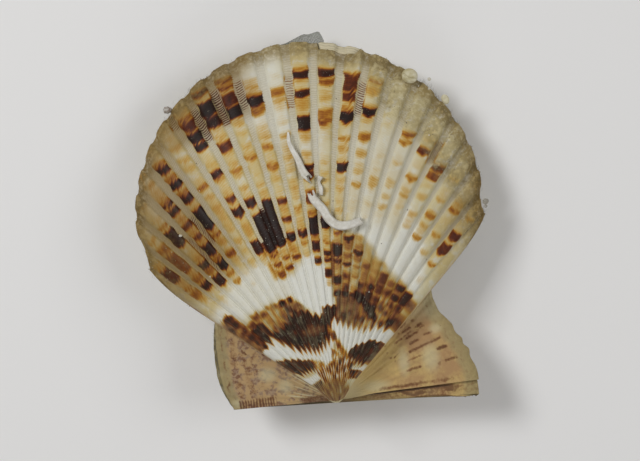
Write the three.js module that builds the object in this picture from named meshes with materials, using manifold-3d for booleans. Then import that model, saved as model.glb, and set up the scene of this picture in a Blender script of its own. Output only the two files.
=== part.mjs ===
// A closed scallop shell, lying on its lower (right) valve with the upper (left) valve facing up.
//
// Each valve grows by a spiral law: every growth line is the valve's present edge, scaled down about the
// hinge point and turned up about the hinge line, further for older lines. That one rule gives the domed
// disc, the curled beak, the steep flanks beside it and the two flat ears. Ribs run out from the beak like
// a fan. Where the upper valve has a rib the lower has a groove, so the wavy edges interlock.
//
// Shell frame, in millimetres: X along the straight hinge, Y from the hinge to the far (ventral) edge, Z up
// out of the plane where the valves meet. The finished shell is then tipped a little about X, so that it
// stands on the worn crests of its lower ribs with its weight above them. The short ear is at -X.
import * as THREE from "three";
import { mergeVertices } from "three/addons/utils/BufferGeometryUtils.js";
import Module from "manifold-3d";

const wasm = await Module();
wasm.setup();

// --- driving dimensions ----------------------------------------------------------------------------

const DISC = { radius: 14.15, centre: 15.05, lean: -1.7 }; // the disc's edge is a circle; lean in degrees
const RIBS = { count: 22, fan: 46.9, lean: -1.8 }; // degrees either side of a leaning midline, at the edge
const YOUNG_RIBS = { fan: 44.7, lean: -2.9, bow: 12 }; // the same half way in; in between they bow outwards
const RIB_HEIGHT = 0.34; // at the edge; it shrinks with the growth line's size
const RIB_SCALLOP = 0.13; // how far a rib's end stands out past a groove's end
const CHIP = { from: 3.3, to: 10.4, depth: 0.65 }; // by fan angle: the upper valve's edge is broken back
const CHIP_SLOPES = { from: 0.5, to: 3 }; // degrees over which the break comes in at each end
const SHOULDER_START = 0.82; // the fan place from which the disc's edge runs in to its shoulder

const UPPER = { side: 1, coil: 0.5 }; // coil is the spiral rate: it sets how deep the valve's disc is
const LOWER = { side: -1, coil: 0.42 };
const EAR_COIL = { foot: 0.3, tip: 0.06 }; // where an ear leaves the flank, and at the hinge
const BEAK = { turn: 1.72, slimming: 0.6 }; // radians at most, and how far the ribs draw in over the beak
const SHOULDER_COIL = 0.6; // the shoulder's share of the way from the ear's coil to the disc's

const EDGE = 0.3; // thickness of the thin outer edge
const WALL = 0.62; // thickness of the rest, measured straight down
const GAP = 0.12; // between the two valves
const OPENING = [0.12, 0.32]; // growth sizes between which the solid hinge end opens into the hollow
const INNER_TURN = 0.35; // the inner skin turns up less than this cosine allows, so the beak stays solid
const INNER_WAVE = 0.75; // the growth size from which the inner skin follows the ribs

// Points along each ear's free edge, from the foot of the flank to the hinge corner.
const SHORT_EAR = [[-9.15, 7.45], [-9.25, 5.2], [-9.1, 2.3], [-8.4, 0.15]];
const LONG_EAR = [[8.66, 8.15], [8.85, 6.9], [9.6, 5.6], [10.5, 4.1], [11.25, 2.5], [11.7, 0.15]];
const NOTCHED_EAR = [[8.5, 8.0], [7.9, 6.9], [7.5, 5.9], [9.4, 4.9], [11.1, 2.7], [11.6, 0.15]]; // lower valve
const LOWER_PROUD = 0.22; // the lower valve's short ear reaches this much past the upper one's
const HINGE_FOLD = 0.9; // the lower valve's long hinge edge folds out past the upper one's by this much
const FOLD_START = 0.6; // the share of the ear's free edge beyond which that fold begins
const SHORT_SHOULDER = { end: 18.6, angle: -49.2, radius: 15.4 }; // the disc's own free edge beside each ear
const LONG_SHOULDER = { end: 19.4, angle: 46.3, radius: 16.6 };

const REST = { tilt: 6.2, hinge: [0.1796, -14.5437, 5.54] }; // degrees; the hinge point's place over the floor

const LIGAMENT = { from: -7.6, to: 9.4, radius: 0.12, tip: 0.048, y: -0.2, z: 0.12, overlap: 0.01 };
const TUBE_CLEARANCE = 0.03;
const TUBE_ROUNDNESS = 1.12; // room for a tube's flat sides over the rib crests
const WORM_TUBES = {
  worm_tube_upper: {
    path: [[-1.42, 21.9], [-1.4, 20.93], [-0.88, 19.6], [-0.61, 18.67], [-0.18, 17.95]],
    radii: [0.1, 0.32],
  },
  worm_tube_lower: {
    path: [[-0.12, 17], [0, 16.35], [0.63, 15.47], [1.03, 14.66], [1.69, 14.1], [2.57, 14.04], [3.6, 14.25]],
    radii: [0.32, 0.3],
  },
  worm_tube_stub: {
    path: [[0.73, 18.08], [0.56, 17.65], [0.65, 17.16], [0.62, 16.55]],
    radii: [0.22, 0.15],
  },
};
const BEADS = {
  bead_upper: { at: [8.86, 25.5, 1.3], radii: [0.6, 0.56, 0.44] },
  bead_right: { at: [11.56, 23.3, 0.55], radii: [0.3, 0.4, 0.28] },
  clear_bead: { at: [14.02, 14.72, 0.2], radii: [0.26, 0.26, 0.26] },
  nub_left: { at: [-11.06, 24.98, 0.2], radii: [0.36, 0.28, 0.26] },
};
const FLAKE = { outline: [[-1.6, 29.36], [0.6, 30.04], [1.85, 30.0], [2.2, 29.34]], thickness: 0.14 };

const FINISHES = {
  upper_valve: { color: 0xc9ac7c, roughness: 0.45 },
  lower_valve: { color: 0xd2bd9e, roughness: 0.45 },
  hinge_ligament: { color: 0x4a3423, roughness: 0.6 },
  worm_tube: { color: 0xe6dfd0, roughness: 0.7 },
  bead: { color: 0xe9e4d8, roughness: 0.35 },
  clear: { color: 0xb9b6a8, roughness: 0.2 },
  flake: { color: 0x9a9c9a, roughness: 0.3 },
};

// --- mesh density -------------------------------------------------------------------------------------

const NEARLY_NONE = 1e-6; // the growth size at the very tip of the beak
const ROWS = 9;
const ROW_CROWDING = 1.3; // rows crowd towards the beak
const EAR_COLUMNS = 5;
const RIB_PHASES = [0.12, 0.25, 0.75, 0.88]; // the feet and shoulders of a flat-topped rib
const TUBE_SIDES = 8;
const BEAD_SIDES = [14, 9];

// --- small helpers ------------------------------------------------------------------------------------

const radians = THREE.MathUtils.degToRad;
const degrees = THREE.MathUtils.radToDeg;
const smooth = THREE.MathUtils.smoothstep;
const mix = THREE.MathUtils.lerp;

function solidFrom(geometry) {
  const bare = geometry.index ? geometry.toNonIndexed() : geometry.clone();
  bare.deleteAttribute("normal");
  bare.deleteAttribute("uv");
  const merged = mergeVertices(bare, 1e-4);
  return new wasm.Manifold(
    new wasm.Mesh({
      numProp: 3,
      vertProperties: new Float32Array(merged.attributes.position.array),
      triVerts: new Uint32Array(merged.index.array),
    }),
  );
}

function geometryFrom(solid) {
  const { vertProperties, triVerts } = solid.getMesh();
  return meshGeometry(vertProperties, triVerts);
}

function meshGeometry(positions, faces) {
  const geometry = new THREE.BufferGeometry();
  geometry.setAttribute("position", new THREE.Float32BufferAttribute(positions, 3));
  geometry.setIndex(Array.from(faces));
  return geometry;
}

// --- the growing edge ---------------------------------------------------------------------------------

// 0 in a groove, 1 on a rib's flat top; phase runs from 0 to 1 across one rib.
function ribProfile(phase) {
  return smooth(phase, 0.12, 0.25) * (1 - smooth(phase, 0.75, 0.88));
}

// Distance from the hinge point to the disc's edge at a fan angle in degrees.
function discEdge(angle) {
  const a = radians(angle - DISC.lean);
  return DISC.centre * Math.cos(a) + Math.sqrt(DISC.radius ** 2 - (DISC.centre * Math.sin(a)) ** 2);
}

// The fan angle, seen from above, of a rib line at growth size t; fan runs from -1 to 1 across the disc.
function ribAngle(fan, t) {
  const age = Math.min(2 * (1 - t), 1);
  const bow = YOUNG_RIBS.bow * (0.25 - age / 2) * fan * (1 - fan * fan);
  return mix(RIBS.lean, YOUNG_RIBS.lean, age) + mix(RIBS.fan, YOUNG_RIBS.fan, age) * fan + bow;
}

// A column is one line of growth: every point of it lies on the same part of the edge, at a smaller size.
function discColumn(fan, valve) {
  const place = ((fan + 1) / 2) * RIBS.count;
  const angle = ribAngle(fan, 1);
  const rib = Math.abs(fan) === 1 ? 0 : ribProfile(place - Math.floor(place));
  const end = fan < 0 ? SHORT_SHOULDER.end : LONG_SHOULDER.end;
  const nearEnd = smooth(Math.abs(fan), SHOULDER_START, 1) ** 2;
  const chipStart = smooth(angle, CHIP.from, CHIP.from + CHIP_SLOPES.from);
  const chipEnd = 1 - smooth(angle, CHIP.to - CHIP_SLOPES.to, CHIP.to);
  const lost = valve === UPPER ? CHIP.depth * chipStart * chipEnd : 0;
  const radius = mix(discEdge(angle), end, nearEnd) + RIB_SCALLOP * rib - lost;
  return { angle, fan, radius, ear: 0, rib, coil: valve.coil };
}

function shoulderColumn({ angle, radius }, valve) {
  return { angle, radius, ear: 0, rib: 0, coil: mix(EAR_COIL.foot, valve.coil, SHOULDER_COIL) };
}

function earColumns(points, proud) {
  const curve = new THREE.SplineCurve(points.map(([x, y]) => new THREE.Vector2(x, y)));
  return Array.from({ length: EAR_COLUMNS + 1 }, (_, i) => {
    const ear = i / EAR_COLUMNS;
    const { x, y } = curve.getPoint(ear);
    const angle = degrees(Math.atan2(x, y));
    const radius = Math.hypot(x, y) + proud * Math.sin(Math.PI * ear);
    return { angle, radius, ear, rib: 0, coil: mix(EAR_COIL.foot, EAR_COIL.tip, ear) };
  });
}

// The whole edge in order, from the short ear's hinge corner round to the long ear's.
function edgeColumns(valve) {
  const fans = [-1];
  for (let rib = 0; rib < RIBS.count; rib++) {
    fans.push(...RIB_PHASES.map((phase) => (2 * (rib + phase)) / RIBS.count - 1));
  }
  fans.push(1);
  return [
    ...earColumns(SHORT_EAR, valve === UPPER ? 0 : LOWER_PROUD).reverse(),
    shoulderColumn(SHORT_SHOULDER, valve),
    ...fans.map((fan) => discColumn(fan, valve)),
    shoulderColumn(LONG_SHOULDER, valve),
    ...earColumns(valve === UPPER ? LONG_EAR : NOTCHED_EAR, 0),
  ];
}

// --- one valve ----------------------------------------------------------------------------------------

// Where a column crosses the growth line of size t: its place seen from above, and its height over the edge.
function grow(column, t) {
  const turn = Math.min(column.coil * Math.log(1 / t), BEAK.turn);
  const angle = radians(column.fan === undefined ? column.angle : ribAngle(column.fan, t));
  const slimmed = Math.atan2(Math.sin(angle) * Math.max(Math.cos(turn), BEAK.slimming), Math.cos(angle));
  const forward = t * column.radius * Math.cos(slimmed);
  return { x: t * column.radius * Math.sin(slimmed), forward, turn, height: forward * Math.sin(turn) };
}

// The hinge edge of the lower valve's long ear turns outwards.
function hingeFold(column, t, valve) {
  const folded = valve === LOWER && column.angle > 0;
  return folded ? HINGE_FOLD * t * t * smooth(column.ear, FOLD_START, 1) : 0;
}

// Both skins of the lower valve follow the upper valve's ribs, so that it has a groove below each of them.
function outerPoint(column, t, valve) {
  const { x, forward, turn, height } = grow(column, t);
  const y = forward * Math.cos(turn) - hingeFold(column, t, valve);
  const z = valve.side * (GAP / 2 + EDGE + height) + RIB_HEIGHT * t * column.rib;
  return new THREE.Vector3(x, y, z);
}

function innerPoint(column, t, valve) {
  const { x, forward, turn, height } = grow(column, t);
  const y = forward * Math.max(Math.cos(turn), INNER_TURN) - hingeFold(column, t, valve);
  const hollow = Math.max(EDGE + height - WALL, 0) * smooth(t, ...OPENING);
  const wave = RIB_HEIGHT * column.rib * Math.max(smooth(t, INNER_WAVE, 1), t * Math.min(hollow, 1));
  return new THREE.Vector3(x, y, valve.side * (GAP / 2 + hollow) + wave);
}

// Each skin is a fan of triangles round the beak, then rows of quads; a wall joins the two skins' outlines.
function valveSolid(valve) {
  const columns = edgeColumns(valve);
  const rows = Array.from({ length: ROWS }, (_, j) => ((j + 1) / ROWS) ** ROW_CROWDING);
  const positions = [];
  const put = ({ x, y, z }) => positions.push(x, y, z) / 3 - 1;
  const [outer, inner] = [outerPoint, innerPoint].map((pointAt) => ({
    beak: put(new THREE.Vector3(0, 0, pointAt(columns[0], NEARLY_NONE, valve).z)),
    grid: rows.map((t) => columns.map((column) => put(pointAt(column, t, valve)))),
  }));
  const faces = [];
  addSkin(faces, outer, valve === LOWER);
  addSkin(faces, inner, valve === UPPER);
  addWall(faces, outline(outer), outline(inner), valve === LOWER);
  return solidFrom(meshGeometry(positions, faces));
}

function addQuad(faces, [a, b, c, d], flip) {
  faces.push(...(flip ? [a, c, b, a, d, c] : [a, b, c, a, c, d]));
}

function addSkin(faces, { beak, grid }, flip) {
  for (let i = 0; i + 1 < grid[0].length; i++) {
    const [left, right] = grid[0].slice(i, i + 2);
    faces.push(...(flip ? [beak, left, right] : [beak, right, left]));
    for (let j = 0; j + 1 < grid.length; j++) {
      addQuad(faces, [grid[j][i], grid[j][i + 1], grid[j + 1][i + 1], grid[j + 1][i]], flip);
    }
  }
}

function outline({ beak, grid }) {
  const edge = grid[grid.length - 1];
  const older = grid.slice(0, -1);
  return [beak, ...older.map((row) => row[0]), ...edge, ...older.reverse().map((row) => row[row.length - 1])];
}

function addWall(faces, outside, inside, flip) {
  outside.forEach((a, k) => {
    const next = (k + 1) % outside.length;
    addQuad(faces, [a, outside[next], inside[next], inside[k]], flip);
  });
}

// --- what grows on the shell --------------------------------------------------------------------------

const SEARCH_STEPS = 8;

// The level of the rib crests straight above a place on the upper valve's disc, closed in on step by step.
function crestAbove(x, y) {
  const column = { angle: degrees(Math.atan2(x, y)), rib: 1, coil: UPPER.coil };
  let t = Math.hypot(x, y) / discEdge(column.angle);
  let crest;
  for (let step = 0; step < SEARCH_STEPS; step++) {
    column.radius = discEdge(column.angle);
    crest = outerPoint(column, t, UPPER);
    column.angle += degrees(Math.atan2(x, y) - Math.atan2(crest.x, crest.y));
    t *= Math.hypot(x, y) / Math.hypot(crest.x, crest.y);
  }
  return crest.z;
}

// A closed round tube along a curve, its radius changing evenly from the first value to the last.
function taperedTube(points, [firstRadius, lastRadius]) {
  const curve = new THREE.CatmullRomCurve3(points);
  const steps = 2 * points.length;
  const frames = curve.computeFrenetFrames(steps);
  const positions = [];
  const faces = [];
  for (let i = 0; i <= steps; i++) {
    const centre = curve.getPointAt(i / steps);
    const radius = mix(firstRadius, lastRadius, i / steps);
    for (let k = 0; k < TUBE_SIDES; k++) {
      const a = (2 * Math.PI * k) / TUBE_SIDES;
      const side = frames.normals[i].clone().multiplyScalar(radius * Math.cos(a));
      const p = side.addScaledVector(frames.binormals[i], radius * Math.sin(a)).add(centre);
      positions.push(p.x, p.y, p.z);
      const next = (k + 1) % TUBE_SIDES;
      const ring = TUBE_SIDES * i;
      const above = ring + TUBE_SIDES;
      if (i < steps) addQuad(faces, [ring + k, ring + next, above + next, above + k], false);
    }
  }
  for (let k = 1; k + 1 < TUBE_SIDES; k++) {
    faces.push(0, k + 1, k, TUBE_SIDES * steps, TUBE_SIDES * steps + k, TUBE_SIDES * steps + k + 1);
  }
  return meshGeometry(positions, faces);
}

function wormTube({ path, radii }) {
  const points = path.map(([x, y], i) => {
    const radius = mix(radii[0], radii[1], i / (path.length - 1));
    return new THREE.Vector3(x, y, crestAbove(x, y) + radius * TUBE_ROUNDNESS + TUBE_CLEARANCE);
  });
  return taperedTube(points, radii);
}

function bead({ at, radii }) {
  return geometryFrom(solidFrom(new THREE.SphereGeometry(1, ...BEAD_SIDES)).scale(radii).translate(at));
}

function flake({ outline: points, thickness }) {
  const shape = new THREE.Shape();
  points.forEach(([x, y], i) => (i ? shape.lineTo(x, y) : shape.moveTo(x, y)));
  const plate = new THREE.ExtrudeGeometry(shape, { depth: thickness, bevelEnabled: false });
  return plate.translate(0, 0, -thickness / 2);
}

// A thin cord just behind the hinge line, drawn out fine at both ends.
function ligament({ from, to, radius, tip, y, z, overlap }) {
  const half = (from + to) / 2;
  const cord = (a, b, radii) => taperedTube([new THREE.Vector3(a, y, z), new THREE.Vector3(b, y, z)], radii);
  const left = solidFrom(cord(from, half, [tip, radius]));
  const right = solidFrom(cord(half - overlap, to, [radius, tip]));
  return geometryFrom(left.add(right));
}

// --- the whole shell ----------------------------------------------------------------------------------

const shell = new THREE.Group();
shell.rotation.x = -radians(REST.tilt);
shell.position.set(...REST.hinge);
shell.updateMatrix();

const FLOOR_BLOCK = { across: 60, deep: 10 };

// Everything below the floor, in the shell's own frame.
function floorSolid() {
  const { across, deep } = FLOOR_BLOCK;
  const floor = new THREE.BoxGeometry(across, across, deep).translate(0, 0, -deep / 2);
  return solidFrom(floor.applyMatrix4(shell.matrix.clone().invert()));
}

function addPiece(name, geometry, finish) {
  const material = new THREE.MeshStandardMaterial({ metalness: 0, ...FINISHES[finish] });
  const mesh = new THREE.Mesh(geometry, material);
  mesh.name = name;
  shell.add(mesh);
}

addPiece("upper_valve", geometryFrom(valveSolid(UPPER)), "upper_valve");
addPiece("lower_valve", geometryFrom(valveSolid(LOWER).subtract(floorSolid())), "lower_valve");
addPiece("hinge_ligament", ligament(LIGAMENT), "hinge_ligament");
for (const [name, tube] of Object.entries(WORM_TUBES)) addPiece(name, wormTube(tube), "worm_tube");
for (const [name, shape] of Object.entries(BEADS)) {
  addPiece(name, bead(shape), name.startsWith("bead") ? "bead" : "clear");
}
addPiece("ventral_flake", flake(FLAKE), "flake");

const group = new THREE.Group();
group.add(shell);

export default group;
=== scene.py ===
import math
import random

import bmesh
import bpy
from mathutils import Matrix, Vector, noise
from mathutils.bvhtree import BVHTree


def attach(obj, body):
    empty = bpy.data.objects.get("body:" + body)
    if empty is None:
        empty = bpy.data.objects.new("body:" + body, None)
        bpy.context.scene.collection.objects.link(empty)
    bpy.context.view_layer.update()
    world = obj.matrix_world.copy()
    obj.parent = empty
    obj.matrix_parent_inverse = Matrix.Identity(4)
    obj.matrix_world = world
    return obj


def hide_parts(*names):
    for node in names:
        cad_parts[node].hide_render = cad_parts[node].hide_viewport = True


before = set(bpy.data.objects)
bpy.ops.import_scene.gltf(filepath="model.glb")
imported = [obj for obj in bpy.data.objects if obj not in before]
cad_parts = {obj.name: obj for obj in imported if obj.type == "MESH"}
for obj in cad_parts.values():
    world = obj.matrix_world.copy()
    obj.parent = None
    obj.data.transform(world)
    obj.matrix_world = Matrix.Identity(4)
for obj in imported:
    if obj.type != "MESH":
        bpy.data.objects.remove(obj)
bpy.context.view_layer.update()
mm = 0.001

# A scallop shell, lying on its lower valve. Shapes are worked out in the shell's own frame, in millimetres:
# x along the hinge, y from the hinge to the far edge, z up out of the plane where the valves meet.
# toWorld then tips that frame and turns millimetres into metres.
shell = {
    "discRadius": 14.15,
    "discCentre": 15.05,
    "discLean": -1.7,
    "ribs": 22,
    "ribFan": 46.9,
    "ribLean": -1.8,
    "youngFan": 44.7,
    "youngLean": -2.9,
    "ribBow": 12,
    "ribHeight": 0.34,
    "ribScallop": 0.13,
    "coilUpper": 0.5,
    "coilLower": 0.42,
    "coilEarFoot": 0.3,
    "coilEarTip": 0.06,
    "beakTurn": 1.72,
    "beakSlimming": 0.6,
    "lip": 0.15,
    "edge": 0.3,
    "wall": 0.62,
    "gap": 0.12,
    "restTilt": 6.2,
    "hingeAt": (0.1796, -14.5437, 5.54),
}
tipped = Matrix.Translation(Vector(shell["hingeAt"]) * mm)
tipped = tipped @ Matrix.Rotation(-math.radians(shell["restTilt"]), 4, "X") @ Matrix.Scale(mm, 4)


def toWorld(x, y, z):
    return tipped @ Vector((x, y, z))


def smooth(value, low, high):
    share = min(max((value - low) / (high - low), 0), 1)
    return share * share * (3 - 2 * share)


def mix(a, b, share):
    return a + (b - a) * share


def drift(x, y, z):
    # smooth noise about 0, the same each time for the same place
    return noise.noise(Vector((x, y, z)))


def bell(off, width):
    return math.exp(-((off / width) ** 2))


def curveThrough(points, share):
    # a Catmull-Rom curve through the points
    place = share * (len(points) - 1)
    first = min(int(place), len(points) - 2)
    s = place - first
    a, b = points[max(first - 1, 0)], points[first]
    c, d = points[first + 1], points[min(first + 2, len(points) - 1)]
    return [
        q + 0.5 * s * (r - p + s * (2 * p - 5 * q + 4 * r - t + s * (3 * (q - r) + t - p)))
        for p, q, r, t in zip(a, b, c, d)
    ]


def levelAt(points, place):
    # the height of a smooth line through (place, height) points
    if place <= points[0][0]:
        return points[0][1]
    for (x0, y0), (x1, y1) in zip(points, points[1:]):
        if place <= x1:
            return mix(y0, y1, smooth(place, x0, x1))
    return points[-1][1]


# the camera, square on to the plane where the valves meet
camera = {"target": (0.21, 13.86, 3.0), "upwards": (0.1132, 0.9936, 0.0), "distance": 142.0, "lens": 100.0}


def makeCamera(view):
    eye = toWorld(view["target"][0], view["target"][1], view["target"][2] + view["distance"])
    target = toWorld(*view["target"])
    upwards = (tipped.to_3x3() @ Vector(view["upwards"])).normalized()
    back = (eye - target).normalized()
    right = upwards.cross(back).normalized()
    data = bpy.data.cameras.new("camera")
    data.lens = view["lens"]
    data.clip_start = 0.005
    data.clip_end = 10
    made = bpy.data.objects.new("camera", data)
    turned = Matrix((right, back.cross(right), back)).transposed()
    made.matrix_world = Matrix.Translation(eye) @ turned.to_4x4()
    bpy.context.scene.collection.objects.link(made)
    bpy.context.scene.camera = made


makeCamera(camera)
print("camera ready")


# Shader maths written as expressions on sockets.
class Wire:
    def __init__(self, finish, socket):
        self.finish = finish
        self.socket = socket

    def sums(self, operation, first, second):
        return self.finish.node("ShaderNodeMath", {"operation": operation}, {0: first, 1: second})

    def __add__(self, other):
        return self.sums("ADD", self, other)

    def __radd__(self, other):
        return self.sums("ADD", other, self)

    def __sub__(self, other):
        return self.sums("SUBTRACT", self, other)

    def __rsub__(self, other):
        return self.sums("SUBTRACT", other, self)

    def __mul__(self, other):
        return self.sums("MULTIPLY", self, other)

    def __rmul__(self, other):
        return self.sums("MULTIPLY", other, self)


class Finish:
    def __init__(self, name):
        self.material = bpy.data.materials.new(name)
        self.material.use_nodes = True
        self.tree = self.material.node_tree
        self.shader = self.tree.nodes["Principled BSDF"]
        self.objectPlace = self.node("ShaderNodeTexCoord", output="Object")

    def node(self, kind, settings=None, inputs=None, output=0):
        made = self.tree.nodes.new(kind)
        for key, value in (settings or {}).items():
            if key == "stops":
                self.setStops(made.color_ramp, value)
            else:
                setattr(made, key, value)
        for key, value in (inputs or {}).items():
            self.feed(made.inputs[key], value)
        return Wire(self, made.outputs[output])

    def setStops(self, ramp, stops):
        while len(ramp.elements) < len(stops):
            ramp.elements.new(0.5)
        for element, (place, colour) in zip(ramp.elements, stops):
            element.position = place
            element.color = (*colour, 1)

    def feed(self, socket, value):
        if isinstance(value, Wire):
            self.tree.links.new(value.socket, socket)
        elif isinstance(value, tuple) and len(value) == 3 and socket.type == "RGBA":
            socket.default_value = (*value, 1)
        else:
            socket.default_value = value

    def set(self, **inputs):
        for key, value in inputs.items():
            self.feed(self.shader.inputs[key.replace("_", " ")], value)

    def blendColour(self, share, first, second, kind="MIX"):
        settings = {"data_type": "RGBA", "blend_type": kind}
        return self.node("ShaderNodeMix", settings, {0: share, 6: first, 7: second}, 2)

    def ramp(self, value, stops):
        return self.node("ShaderNodeValToRGB", {"stops": stops}, {0: value})

    def between(self, value, low, high, toLow=0.0, toHigh=1.0):
        settings = {"interpolation_type": "SMOOTHSTEP", "clamp": True}
        return self.node("ShaderNodeMapRange", settings, {0: value, 1: low, 2: high, 3: toLow, 4: toHigh})

    def attribute(self, name):
        return self.node("ShaderNodeAttribute", {"attribute_name": name}, output="Fac")

    def noise(self, scale, detail=3.0, rough=0.5, at=None):
        inputs = {"Vector": at or self.objectPlace, "Scale": scale, "Detail": detail, "Roughness": rough}
        return self.node("ShaderNodeTexNoise", {}, inputs)

    def bump(self, height, distance, strength):
        inputs = {"Height": height, "Distance": distance, "Strength": strength}
        return self.node("ShaderNodeBump", {}, inputs)


# The edge of a valve, as columns: each column is one line of growth, out from the beak.
ears = {
    "short": [(-9.15, 7.45), (-9.25, 5.2), (-9.1, 2.3), (-8.4, 0.15)],
    "long": [(8.66, 8.15), (8.85, 6.9), (9.6, 5.6), (10.5, 4.1), (11.25, 2.5), (11.7, 0.15)],
    "notched": [(8.5, 8.0), (7.9, 6.9), (7.5, 5.9), (9.4, 4.9), (11.1, 2.7), (11.6, 0.15)],
    "steps": 72,
    "proud": 0.3,
    "shortEnd": 18.6,
    "longEnd": 19.4,
    "shortShoulder": (-51.6, 15.6),
    "longShoulder": (47.6, 17.0),
    "shoulderSteps": 9,
}
chip = {"from": 3.3, "to": 10.4, "depth": 0.65}
ribSteps = (0.0, 0.08, 0.13, 0.18, 0.23, 0.3, 0.5, 0.7, 0.77, 0.82, 0.87, 0.92)


def ribAngle(fan, t):
    age = min(2 * (1 - t), 1)
    bow = shell["ribBow"] * (0.25 - age / 2) * fan * (1 - fan * fan)
    lean = mix(shell["ribLean"], shell["youngLean"], age)
    return lean + mix(shell["ribFan"], shell["youngFan"], age) * fan + bow


def discEdge(angle):
    a = math.radians(angle - shell["discLean"])
    across = shell["discCentre"] * math.sin(a)
    return shell["discCentre"] * math.cos(a) + math.sqrt(shell["discRadius"] ** 2 - across**2)


def ribProfile(phase):
    crown = 1 - 0.12 * (2 * phase - 1) ** 2
    return crown * smooth(phase, 0.1, 0.27) * (1 - smooth(phase, 0.73, 0.9))


def discColumn(place, valve):
    # place counts ribs across the disc, from 0 at the short ear to 22 at the long one
    fan = 2 * place / shell["ribs"] - 1
    angle = ribAngle(fan, 1)
    phase = place % 1
    rib = ribProfile(phase) if 0 < place < shell["ribs"] else 0
    end = ears["shortEnd"] if fan < 0 else ears["longEnd"]
    radius = mix(discEdge(angle), end, smooth(abs(fan), 0.82, 1) ** 2)
    radius += shell["ribScallop"] * rib
    if valve["upper"]:
        lost = smooth(angle, chip["from"], chip["from"] + 0.3)
        lost *= 1 - smooth(angle, chip["to"] - 1.2, chip["to"])
        radius -= chip["depth"] * lost
    radius += 0.07 * drift(place * 1.7, valve["coil"] * 9, 0)
    column = {"place": place, "fan": fan, "angle": angle, "radius": radius}
    return {**column, "ear": 0, "rib": rib, "coil": valve["coil"]}


def earColumns(points, proud, start, valve):
    made = []
    for i in range(ears["steps"] + 1):
        share = i / ears["steps"]
        x, y = curveThrough(points, share)
        radius = math.hypot(x, y) + proud * math.sin(math.pi * share)
        radius += 0.04 * drift(share * 16, start, valve["coil"] * 5) * smooth(share, 0, 0.1)
        if start > 0:
            radius += 0.09 * math.sin(share * 34 + 2 * math.sin(share * 9)) * smooth(share, 0.1, 0.3)
        coil = mix(shell["coilEarFoot"], shell["coilEarTip"], share)
        place = start + share * (3 if start > 0 else -3)
        angle = math.degrees(math.atan2(x, y))
        column = {"place": place, "angle": angle, "radius": radius}
        made.append({**column, "ear": share, "rib": 0, "coil": coil})
    return made


def shoulderColumns(foot, shoulder, end, valve):
    # a curve from the ear's foot over the shoulder to the disc's last column
    middle = {"angle": shoulder[0], "radius": shoulder[1], "coil": mix(foot["coil"], valve["coil"], 0.6)}
    made = []
    for i in range(1, ears["shoulderSteps"]):
        s = i / ears["shoulderSteps"]
        column = {"ear": 0, "rib": 0, "place": mix(foot["place"], end["place"], s)}
        for key in ("angle", "radius", "coil"):
            column[key] = (1 - s) ** 2 * foot[key] + 2 * s * (1 - s) * middle[key] + s * s * end[key]
        made.append(column)
    return made


def edgeColumns(valve):
    proud = 0 if valve["upper"] else ears["proud"]
    shortEar = earColumns(ears["short"], proud, -1, valve)
    longEar = earColumns(ears["long" if valve["upper"] else "notched"], 0, shell["ribs"] + 1, valve)
    disc = [discColumn(rib + phase, valve) for rib in range(shell["ribs"]) for phase in ribSteps]
    disc.append(discColumn(shell["ribs"], valve))
    shortShoulder = shoulderColumns(shortEar[0], ears["shortShoulder"], disc[0], valve)
    longShoulder = shoulderColumns(longEar[0], ears["longShoulder"], disc[-1], valve)
    return shortEar[::-1] + shortShoulder + disc + longShoulder[::-1] + longEar


def grow(column, t):
    t = max(t, 1e-5)
    turn = min(column["coil"] * math.log(1 / t), shell["beakTurn"])
    angle = math.radians(ribAngle(column["fan"], t) if "fan" in column else column["angle"])
    slimmed = math.atan2(math.sin(angle) * max(math.cos(turn), shell["beakSlimming"]), math.cos(angle))
    forward = t * column["radius"] * math.cos(slimmed)
    return t * column["radius"] * math.sin(slimmed), forward, turn


def hingeFold(column, t, valve):
    if column["angle"] < 0:
        return 0
    if valve["upper"]:
        return -0.2 * smooth(column["ear"], 0.8, 1) * smooth(t, 0.05, 0.35)
    teeth = 0.2 * abs((t * 34 + 0.3 * math.sin(t * 60)) % 1 * 2 - 1) * smooth(t, 0.5, 0.6)
    lowered = 0.66 * smooth(t, 0.4, 0.56) + 0.5 * smooth(t, 0.6, 0.95) - teeth
    return smooth(column["ear"], 0.6, 1) * lowered


# concentric growth checks, where the shell paused: growth size and depth in millimetres
growthChecks = [
    (0.27, 0.03), (0.36, 0.02), (0.43, 0.03), (0.52, 0.02), (0.61, 0.025), (0.7, 0.02), (0.765, 0.03),
    (0.83, 0.025), (0.885, 0.03), (0.925, 0.02), (0.96, 0.03),
]


def checkDepth(column, t):
    depth = 0
    wander = 0.006 * drift(column["place"] * 0.35, 3, 0)
    for size, step in growthChecks:
        off = t + wander - size
        # a sharp step down, with a low swell on its young side
        depth += step * bell(off, 0.005) if abs(off) < 0.02 else 0
        depth -= 0.5 * step * bell(off + 0.008, 0.01) if abs(off) < 0.04 else 0
    return depth


def ribRelief(column, t, valve):
    # the lower valve's own ribs are wider than the grooves that meet the upper valve's ribs
    wave = column["rib"]
    if not valve["upper"] and 0 < column["place"] < shell["ribs"]:
        phase = column["place"] % 1
        wider = smooth(phase, 0.22, 0.36) * (1 - smooth(phase, 0.64, 0.78))
        wave = mix(wider, wave, smooth(t, 0.9, 0.99))
    return shell["ribHeight"] * t * wave


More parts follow.
